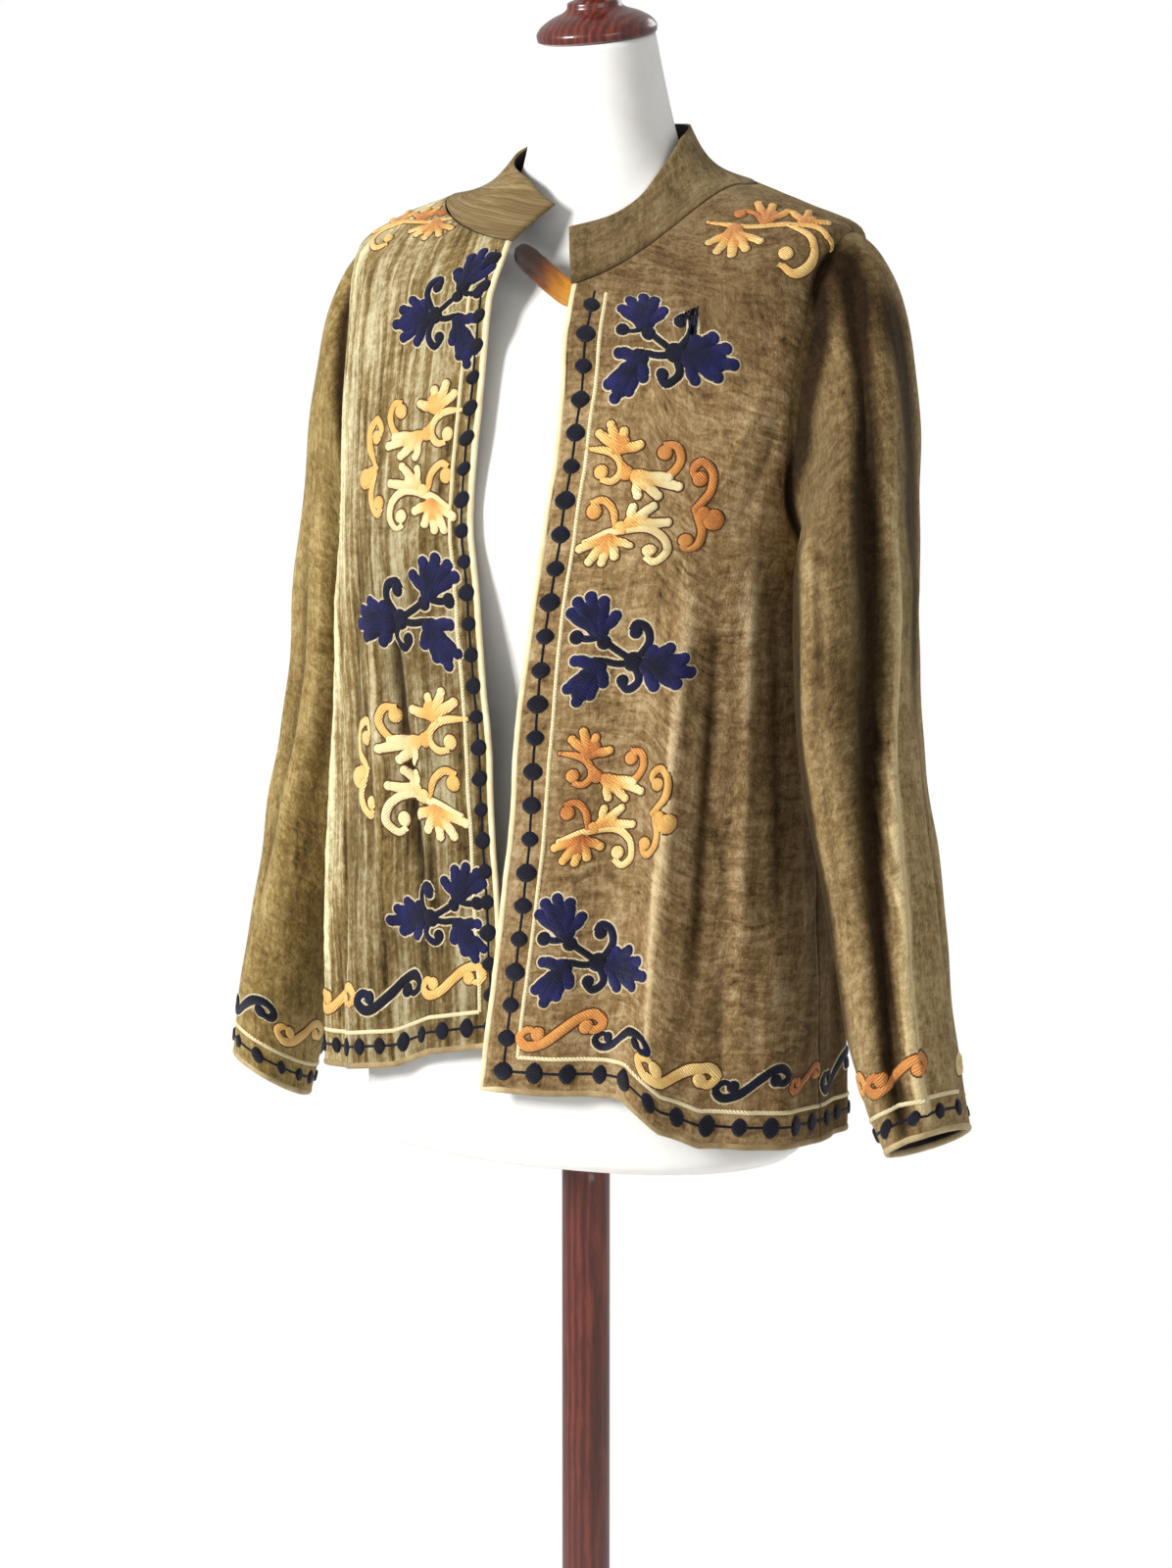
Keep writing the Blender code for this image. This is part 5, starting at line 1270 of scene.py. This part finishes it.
sleeves = {}
for side in ("left", "right"):
    grid, phi, ring_n = sleeve(side)
    m, k = grid.shape[:2]
    flip = side == "left"
    nor = grid_normals(grid, True, flip)
    down = 1 - np.arange(k) / (k - 1.0)
    # share of the way down by length rather than by ring
    seg = np.linalg.norm(np.diff(grid.mean(0), axis=0), axis=1)
    run = np.concatenate([[0], np.cumsum(seg)])
    down = 1 - run / run[-1]
    deg = np.degrees(phi)[:, None] + 0 * down[None]
    w = np.broadcast_to(down[None], deg.shape)
    rise, tone = crease_rise(SLEEVE_CREASES[side], deg, w, 0.056, 0.50)
    slow = 0.0012 * waver(np.radians(deg) * 0 + grid[..., 1] * 1.6 + grid[..., 0], grid[..., 2] * 0.6, 0.060, 1.3 if side == "left" else 4.4)
    fade = ease(w / (0.035 if side == "left" else 0.08))
    rise = (rise + slow) * fade
    # painted shade along the groove at the armhole seam, with painted shade and light from the creases and the slow
    # waver
    ring_deg = np.concatenate([ring_phi(FINE_ARM[::-1], True), ring_phi(FINE_ARM[1:-1], False)])
    far = np.linalg.norm(grid - grid[:, -1:], axis=-1)
    dark = ease(seam_sink(ring_deg) / 0.0045)[:, None] * np.exp(-(((far - 1.15 * seam_shift(ring_deg)[:, None]) / (0.0090 if side == "left" else 0.0075)) ** 2))
    tone = tone * ease((w + 0.02) / 0.03) + slow * fade / 0.008 - 1.3 * dark
    if side == "left":
        # shaded between the seam and the trough, lit beyond it low down
        tone = tone - 0.42 * ease((deg - 60) / 22) * ease((165 - deg) / 30) * ease((0.80 - w) / 0.30) * ease(w / 0.08)
        tone = tone + 0.42 * np.exp(-(((deg - 31 - 22 * (w - 0.55)) / 24) ** 2)) * ease((w - 0.44) / 0.20) - 0.20 * np.exp(-(((deg - 10) / 26) ** 2)) * ease((0.46 - w) / 0.2) * ease(w / 0.1)
        # painted shade, near black, where the sleeve lies against the body, with a painted lit edge in front of it
        along = ease((w - 0.18) / 0.10) * ease((0.92 - w) / 0.10)
        tone = tone - 0.95 * ease((deg - 127) / 9) * ease((215 - deg) / 30) * along + 0.40 * np.exp(-(((deg - 117) / 7) ** 2)) * along
    else:
        # painted light: the right sleeve a little paler all over
        tone = tone + 0.12
    tone = np.clip(tone, -1.0, 1.0)
    grid = grid + nor * rise[..., None]
    nor = grid_normals(grid, True, flip)
    nor[:, -1] = unit(nor[:, -1] + ring_n)
    wrap_mid, wrap_nor = np.concatenate([grid, grid[: m // 2]]), np.concatenate([nor, nor[: m // 2]])
    chart = Chart(wrap_mid, wrap_nor, CLOTH)
    sleeves[side] = (chart, m)
    uv = np.stack([chart.u[: m + 1], chart.v[: m + 1]], -1)
    shade = tone
    trimmed = grid.copy()
    end_dir = unit(grid[:, 0] - grid[:, 1])
    trimmed[:, 0] -= end_dir * BINDING_W * 0.55
    trimmed[:, 1] = 0.5 * (trimmed[:, 0] + trimmed[:, 2])
    piece = shell("sleeve_%s_velvet" % side, trimmed, nor, CLOTH, SLEEVE_VELVET if side == "left" else SLEEVE_R_VELVET, REVERSE, uv, shade, wrap=True, flip=flip)
    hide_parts("sleeve_" + side)
    cord = tube("binding_cuff_%s_cord" % side, grid[:, 0] - end_dir * BINDING_W * 0.52, end_dir, nor[:, 0], BINDING_W * 0.56, 0.00155, BINDING, closed=True, shade=0.42)
    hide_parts("binding_cuff_" + side)
    DECLARE.append([piece, grid, True, ["form_torso"], [cord]])


# ---------------------------------------------------------------- collar
def collar():
    left = float(edge_theta(np.array([1.0]), "left")[0])
    right = float(edge_theta(np.array([1.0]), "right")[0]) + 2 * math.pi
    u = np.linspace(0, 1, 131)
    base_t = left + (right - left) * u
    edge = np.asarray(COLLAR_EDGE)
    top_l, top_r = np.radians(edge[0, 0]), np.radians(edge[-1, 0])
    top_t = top_l + (top_r - top_l) * u
    one = np.ones_like(base_t)
    base = np.where((base_t < math.pi / 2)[:, None], body_point(base_t, one, "left"),
                    np.where((base_t > 1.5 * math.pi)[:, None], body_point(base_t - 2 * math.pi, one, "right"), body_point(base_t, one, "back")))
    c = COLLAR_OVAL
    sn, cs = np.sin(top_t), np.cos(top_t)
    # the coarse collar is straight between the table's rows; here the rows are joined smoothly
    z = smooth_lookup(edge[:, 0], edge[:, 1], np.degrees(top_t))
    hollow = smooth_lookup(edge[:, 0], edge[:, 2], np.degrees(top_t))
    top = np.stack([c["half_width"] * sn, c["y_mid"] - c["depth"] * cs, z], -1)
    rise = unit(top - base)
    start = base + rise * (SEAM + CLOTH / 2)
    v = np.linspace(0, 1, 19)
    grid = start[:, None] + (top - start)[:, None] * v[None, :, None]
    nor = unit(np.cross(np.gradient(grid, axis=0), np.gradient(grid, axis=1)))
    grid = grid - nor * hollow[:, None, None] * np.sin(math.pi * v)[None, :, None]
    deg = np.degrees(top_t)[:, None] + 0 * v
    rise = crease_rise(COLLAR_CREASES, deg, np.broadcast_to(v, deg.shape), 0.06, 0.05)[0] * np.sin(math.pi * v * 0.98) ** 0.5
    grid = grid + nor * rise[..., None]
    # painted shade at the wearer's left end and along the foot, painted light at the right end, which faces the lamp;
    # the creases add their painted shade and light
    tone = rise / 0.004 - 0.32 * ease((120 - deg) / 110) + 0.35 * ease((deg - 250) / 90) - 0.22 * ease((0.12 - v) / 0.12)
    return grid, grid_normals(grid, False, False), tone


grid, nor, tone = collar()
collar_chart = Chart(grid, nor, CLOTH)
piece = shell("collar_velvet", grid, nor, CLOTH, COLLAR_VELVET, REVERSE, np.stack([collar_chart.u, collar_chart.v], -1), np.clip(tone, -1, 1))
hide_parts("collar")
DECLARE.append([piece, grid, False, ["front_left_velvet", "front_right_velvet", "back_velvet"], []])


# ---------------------------------------------------------------- embroidery
# Motif, distance from the open edge, height on the level chart, width and height factors, turn, shift and outward pull of the tone.
SPRIGS = {
    "left": (
        ("navy", 0.0755, 0.4801, 0.842, 0.947, 0, 0, 0),
        ("gold", 0.0662, 0.3834, 0.910, 0.917, 0, 0.04, 0),
        ("navy", 0.0675, 0.2831, 0.833, 0.875, 0, 0, 0),
        ("gold", 0.0694, 0.1907, 0.786, 0.877, 0, 0.02, 0.3),
        ("navy", 0.0656, 0.0925, 0.781, 0.887, 0, 0, 0),
        ("shoulder", 0.1478, 0.5786, 0.951, 1.181, 0, 0, 0),
    ),
    "right": (
        ("navy", 0.0402, 0.5025, 0.718, 0.912, 0, 0, 0),
        ("gold", 0.0553, 0.4040, 0.895, 0.988, 0, 0.24, 0.12),
        ("navy", 0.0622, 0.3030, 0.990, 0.896, 0, 0, 0),
        ("gold", 0.0711, 0.2054, 0.998, 0.974, 0, 0.26, 0.20),
        ("navy", 0.0496, 0.1113, 0.833, 0.768, 0, 0, 0),
        ("shoulder", 0.0994, 0.5878, 1.017, 0.774, 0, 0, 0),
    ),
}
MOTIFS = {"navy": NAVY_SPRIG, "gold": GOLD_SPRIG, "shoulder": SHOULDER_SPRIG}
LEVEL_LINE, LEVEL_V = 1.000, 0.200
BAND = {
    "left": {"dots": ((0, 0.0165), (0.13, 0.0162), (0.215, 0.0148), (0.29, 0.0128), (0.36, 0.0132), (0.465, 0.0158), (0.53, 0.0195), (0.75, 0.0205)),
             "inner": ((0, 0.0258), (0.14, 0.0252), (0.21, 0.0256), (0.32, 0.0226), (0.42, 0.0236), (0.52, 0.0280), (0.75, 0.0290)), "pitch": 0.0214, "dot": 0.0066},
    "right": {"dots": ((0, 0.0098), (0.10, 0.0092), (0.30, 0.0086), (0.40, 0.0080), (0.52, 0.0084), (0.75, 0.0095)),
              "inner": ((0, 0.0190), (0.10, 0.0184), (0.30, 0.0178), (0.40, 0.0172), (0.52, 0.0176), (0.75, 0.0185)), "pitch": 0.0197, "dot": 0.0060},
}
HEM_DOTS, HEM_INNER = 0.0145, 0.0240
CUFF_LEFT = ((0.0160, 0.85), (0.0590, 0.45))
# Scrolls above the hem: distance from the open edge, distance above the hem, gold tint or navy, scale.
SCROLLS = {
    "left": ((0.0520, 0.0425, 0.50, 0.98), (0.0960, 0.0410, None, 0.80), (0.1400, 0.0405, 0.80, 1.02), (0.1930, 0.0425, None, 0.90), (0.2380, 0.0440, 0.36, 0.66)),
    "right": ((0.0400, 0.0460, 0.74, 0.92), (0.0990, 0.0470, None, 1.06), (0.1600, 0.0460, 0.72, 1.00), (0.2170, 0.0460, None, 0.92)),
}


def build_works(name, chart, flip, navy, gold, cream, pale, brown):
    return [navy.build("navy_work_" + name, chart, NAVY, flip), gold.build("gold_work_" + name, chart, GOLD, flip), cream.build("cream_line_" + name, chart, CREAM, flip),
            pale.build("pale_outline_" + name, chart, PALE, flip), brown.build("brown_outline_" + name, chart, BROWN, flip)]


for n, side in enumerate(("left", "right")):
    chart, angle = fronts[side]
    navy, gold, cream, pale, brown = (Work() for _ in range(5))
    level = chart.levelled(LEVEL_LINE, LEVEL_V)
    sprigs = {kind: (Work(), Work()) for kind in ("navy", "gold")}
    for kind, u, v, wide_by, tall_by, turn, shift, pull in SPRIGS[side]:
        kind2 = "navy" if kind == "navy" else "gold"
        sew(*sprigs[kind2], MOTIFS[kind], (u, v), 1.0, turn, size=(wide_by, tall_by), frame2=level.square_frame((u, v)), shift=shift, pull=pull)
    for (work, edge), (to_work, to_edge) in ((sprigs["navy"], (navy, pale)), (sprigs["gold"], (gold, brown))):
        for source, out in ((work, to_work), (edge, to_edge)):
            out.take(source, level, chart)
    b = BAND[side]
    u_end = chart.u[-1, 0] - 0.001
    down, down_i = border_path(chart, b["dots"], HEM_DOTS), border_path(chart, b["inner"], HEM_INNER)
    across = lambda first, v: np.stack([np.linspace(first, u_end, 60), np.full(60, v)], 1)
    band(cream, navy, down, b["pitch"], down_i, b["dot"], 0.0)
    band(cream, navy, across(down[0, 0], HEM_DOTS), b["pitch"], across(down_i[0, 0], HEM_INNER), b["dot"], 1.0)
    for u, v, tone, scale in SCROLLS[side]:
        sew(gold if tone else navy, brown if tone else pale, SCROLL, (u, v), scale, 4.0, side == "right", tint=tone or 0.35)
    works = build_works("front_" + side, chart, side == "right", navy, gold, cream, pale, brown)
    DECLARE[n][4] += works

navy, gold, cream, pale, brown = (Work() for _ in range(5))
u_end = back_chart.u[-1, 0] - 0.001
line = lambda v, last: np.stack([np.linspace(0.001, last, 90), np.full(90, v)], 1)
band(cream, navy, line(HEM_DOTS, u_end), 0.0208, line(HEM_INNER, u_end))
u, k = 0.030, 0
while u < u_end - 0.020:
    tone = None if k % 2 == 0 else (0.74 if k % 4 == 1 else 0.46)
    sew(gold if tone else navy, brown if tone else pale, SCROLL, (u, 0.0430 + 0.0015 * math.sin(2.1 * k)), 0.94, 4.0, False, tint=tone or 0.35)
    u += 0.0560
    k += 1
DECLARE[2][4] += build_works("back", back_chart, False, navy, gold, cream, pale, brown)

for n, side in enumerate(("left", "right")):
    chart, m = sleeves[side]
    navy, gold, cream, pale, brown = (Work() for _ in range(5))
    full = chart.u[m, 0]
    ring_line = lambda v: np.stack([np.linspace(0.0, full, 100), np.full(100, v)], 1)
    count = round(full / 0.0200)
    band(cream, navy, ring_line(0.0140), full / count, ring_line(0.0235), dot=0.0050, phase=0.25)
    seen = ((0.0520, None), (0.1030, 0.74)) if side == "right" else CUFF_LEFT
    step = (full - (seen[1][0] - seen[0][0])) / round((full - (seen[1][0] - seen[0][0])) / 0.054)
    more = [(seen[1][0] + step * k, (0.60 if k % 2 else None) if side == "left" else (None if k % 2 else 0.60)) for k in range(1, round((full - (seen[1][0] - seen[0][0])) / step))]
    for u, tone in list(seen) + more:
        u = u % full
        sew(gold if tone else navy, brown if tone else pale, SCROLL, (u if u > 0.03 else u + full, 0.0435), 0.90, 5.0, side == "left", tint=tone or 0.35)
    # the chart's u runs down the front of the sleeve, so faces turn with the side
    DECLARE[3 + n][4] += build_works("sleeve_" + side, chart, side == "left", navy, gold, cream, pale, brown)


# ---------------------------------------------------------------- amber tab at the neck
a, b = np.array([-0.0195, -0.0545, 1.3330]), np.array([0.0262, -0.0557, 1.2990])
axis = unit(b - a)
front = unit(np.array([0.0, -1.0, 0.0]) + axis * axis[1])
wide = np.cross(axis, front)
rows, run = [], np.linspace(0, 1, 60)
q = np.linspace(0, 2 * math.pi, 24, endpoint=False)
rings = []
for t in run:
    halfw = 0.0075 * (1 - abs(2 * t - 1) ** 5) ** 0.5 + 0.0012
    pleat = 0.00035 * np.cos(7 * np.cos(q)) * np.sin(math.pi * t)
    c = a + (b - a) * t + front * 0.0015 * math.sin(math.pi * t)
    rings.append(c + wide * halfw * np.cos(q)[:, None] + front * (0.0016 * np.sin(q) + pleat * np.sign(np.sin(q)))[:, None])
rings = np.array(rings)
kk, mm = rings.shape[:2]
i, j = np.meshgrid(np.arange(kk - 1), np.arange(mm), indexing="ij")
i, j = i.ravel(), j.ravel()
at = lambda r, c: r * mm + c % mm
quads = np.stack([at(i, j), at(i + 1, j), at(i + 1, j + 1), at(i, j + 1)], 1)
length = float(np.linalg.norm(b - a))
tuv = lambda r, c: np.stack([run[r] * length, 0.008 * np.cos(q[c % mm])], 1)
corner = np.stack([tuv(i, j), tuv(i + 1, j), tuv(i + 1, j + 1), tuv(i, j + 1)], 1).reshape(-1, 2)
cap_t = [(kk * mm, at(0, c), at(0, c + 1)) for c in range(mm)] + [(kk * mm + 1, at(kk - 1, c + 1), at(kk - 1, c)) for c in range(mm)]
corner = np.concatenate([corner, np.repeat([[0.0, 0.0]], mm * 3, 0), np.repeat([[length, 0.0]], mm * 3, 0)])
tab = new_mesh("neck_tab_amber", np.concatenate([rings.reshape(-1, 3), rings[:1].mean(1), rings[-1:].mean(1)]), quads, [AMBER], corner_uv=corner, tris=cap_t)
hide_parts("neck_tab")

# ---------------------------------------------------------------- dress form and stand
s = np.linspace(0, 1, 150)
row = smooth(FORM, s)
th = np.linspace(0, 2 * math.pi, 120, endpoint=False)
sn, cs = np.sin(th)[None, :], np.cos(th)[None, :]
z_f, z_s, z_b, halfw, y_mid, deep_f, deep_b = (row[:, i:i + 1] for i in range(7))
z = z_s + (np.where(cs >= 0, z_f, z_b) - z_s) * cs**2
top = ease((s[:, None] - 0.80) / 0.2)
z = z * (1 - top) + (z_s - (z_b - z_f) / 2 * cs) * top
sq = 0.08 * (1 - top)
deep = np.where(cs >= 0, deep_f, deep_b)
form_rings = np.stack([halfw * sn * (1 + sq * cs**2), y_mid - deep * cs * (1 + sq * sn**2), z], -1)
piece = revolve("form_jersey_cover", form_rings, JERSEY)
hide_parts("form_torso")
top_mid = form_rings[-1].mean(0)
front_i, back_i = 0, 60
tilt = math.atan2(form_rings[-1][back_i][2] - form_rings[-1][front_i][2], form_rings[-1][back_i][1] - form_rings[-1][front_i][1])
lift = np.array([0.0, -math.sin(tilt), math.cos(tilt)]) * SEAM
piece = lathe("neck_cap_turned", CAP, top_mid + lift, tilt, CAP_WOOD, 96, 120)
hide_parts("neck_cap")
piece = lathe("stand_base_turned", BASE, (0, 0, 0), 0.0, STAND_WOOD, 128, 90)
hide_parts("stand_base")
piece = lathe("stand_pole_turned", ((POLE_R, POLE_Z[0]), (POLE_R, POLE_Z[1])), (0, 0, 0), 0.0, STAND_WOOD, 48, 24)
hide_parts("stand_pole")

# ---------------------------------------------------------------- sheets
report = {}
for piece, mid, wrap, rests, extra in DECLARE:
    area = area_of(mid, wrap)
    if wrap:
        width = max(float(np.linalg.norm(np.diff(np.concatenate([mid[:, k], mid[:1, k]]), axis=0), axis=1).sum()) for k in range(0, mid.shape[1], 5))
    else:
        width = max(float(np.linalg.norm(np.diff(mid[:, k], axis=0), axis=1).sum()) for k in range(0, mid.shape[1], 5))
    length = max(float(np.linalg.norm(np.diff(mid[k], axis=0), axis=1).sum()) for k in range(0, mid.shape[0], 5))
    width, length = round(width, 3), round(length, 3)
    area = round(min(area, width * length), 4)
    report[piece.name] = (width, length, area)
print("SHEETS", json.dumps(report))

# ---------------------------------------------------------------- floor, light, camera
FLOOR_R = 1.15
g = Graph("floor_paint")
place = g.node("ShaderNodeTexCoord").outputs["Object"]
tone = g.noise(place, 1.3, 3.0, 0.5)
floor_colour = g.ramp(tone, ((0.2, "#f1f0ee"), (0.8, "#f8f8f7")))
away = g.node("ShaderNodeVectorMath", {"operation": "LENGTH"})
g.put(away.inputs[0], place)
glow = g.node("ShaderNodeMapRange", {"interpolation_type": "SMOOTHSTEP"})
g.put(glow.inputs["Value"], away.outputs["Value"])
glow.inputs["From Min"].default_value = 0.45
glow.inputs["From Max"].default_value = FLOOR_R
glow.inputs["To Min"].default_value = 0.12
glow.inputs["To Max"].default_value = 0.75
g.put(g.bsdf.inputs["Emission Color"], floor_colour)
g.put(g.bsdf.inputs["Emission Strength"], glow.outputs["Result"])
g.finish(floor_colour, 0.7)
bpy.ops.mesh.primitive_circle_add(vertices=128, radius=FLOOR_R, fill_type="NGON", location=(0, 0, 0))
floor = bpy.context.object
floor.name = "floor"
floor.data.materials.append(g.mat)

world = bpy.data.worlds.new("studio")
bpy.context.scene.world = world
world.use_nodes = True
tree = world.node_tree
background = tree.nodes["Background"]
background.inputs["Color"].default_value = (1.0, 1.0, 1.0, 1.0)
path = tree.nodes.new("ShaderNodeLightPath")
amount = tree.nodes.new("ShaderNodeMix")
amount.data_type = "FLOAT"
amount.inputs[2].default_value = 0.42
amount.inputs[3].default_value = 1.0
tree.links.new(path.outputs["Is Camera Ray"], amount.inputs[0])
tree.links.new(amount.outputs[0], background.inputs["Strength"])


def area_light(name, place, target, size, power, colour=(1, 1, 1)):
    data = bpy.data.lights.new(name, "AREA")
    data.shape = "RECTANGLE"
    data.size, data.size_y = size
    data.energy = power
    data.color = colour
    obj = bpy.data.objects.new(name, data)
    COLLECTION.objects.link(obj)
    d = np.asarray(target, float) - np.asarray(place, float)
    obj.location = place
    from_mathutils(obj, d)
    return obj


def from_mathutils(obj, direction):
    from mathutils import Vector
    obj.rotation_euler = Vector(direction).to_track_quat("-Z", "Y").to_euler()


area_light("key", (-1.5, -2.9, 2.3), (0, 0, 1.05), (0.9, 1.1), 150)
area_light("fill", (2.9, -1.9, 1.7), (0, 0, 1.0), (1.6, 2.0), 20)
area_light("rim", (0.6, 2.8, 2.6), (0, 0, 1.1), (1.8, 1.4), 20)

camera = bpy.data.objects.new("camera", bpy.data.cameras.new("camera"))
COLLECTION.objects.link(camera)
camera.data.sensor_fit = "VERTICAL"
camera.data.sensor_height = 36
camera.data.lens = 84.4
camera.data.clip_end = 200
target = np.array([0.0, 0.0, 0.985]) + SHIFT
az, el, far = math.radians(30), math.radians(7), 2.42
camera.location = target + far * np.array([math.sin(az) * math.cos(el), -math.cos(az) * math.cos(el), math.sin(el)])
from_mathutils(camera, target - np.array(camera.location))
bpy.context.scene.camera = camera
bpy.context.scene.view_settings.view_transform = "Standard"
bpy.context.scene.view_settings.look = "None"
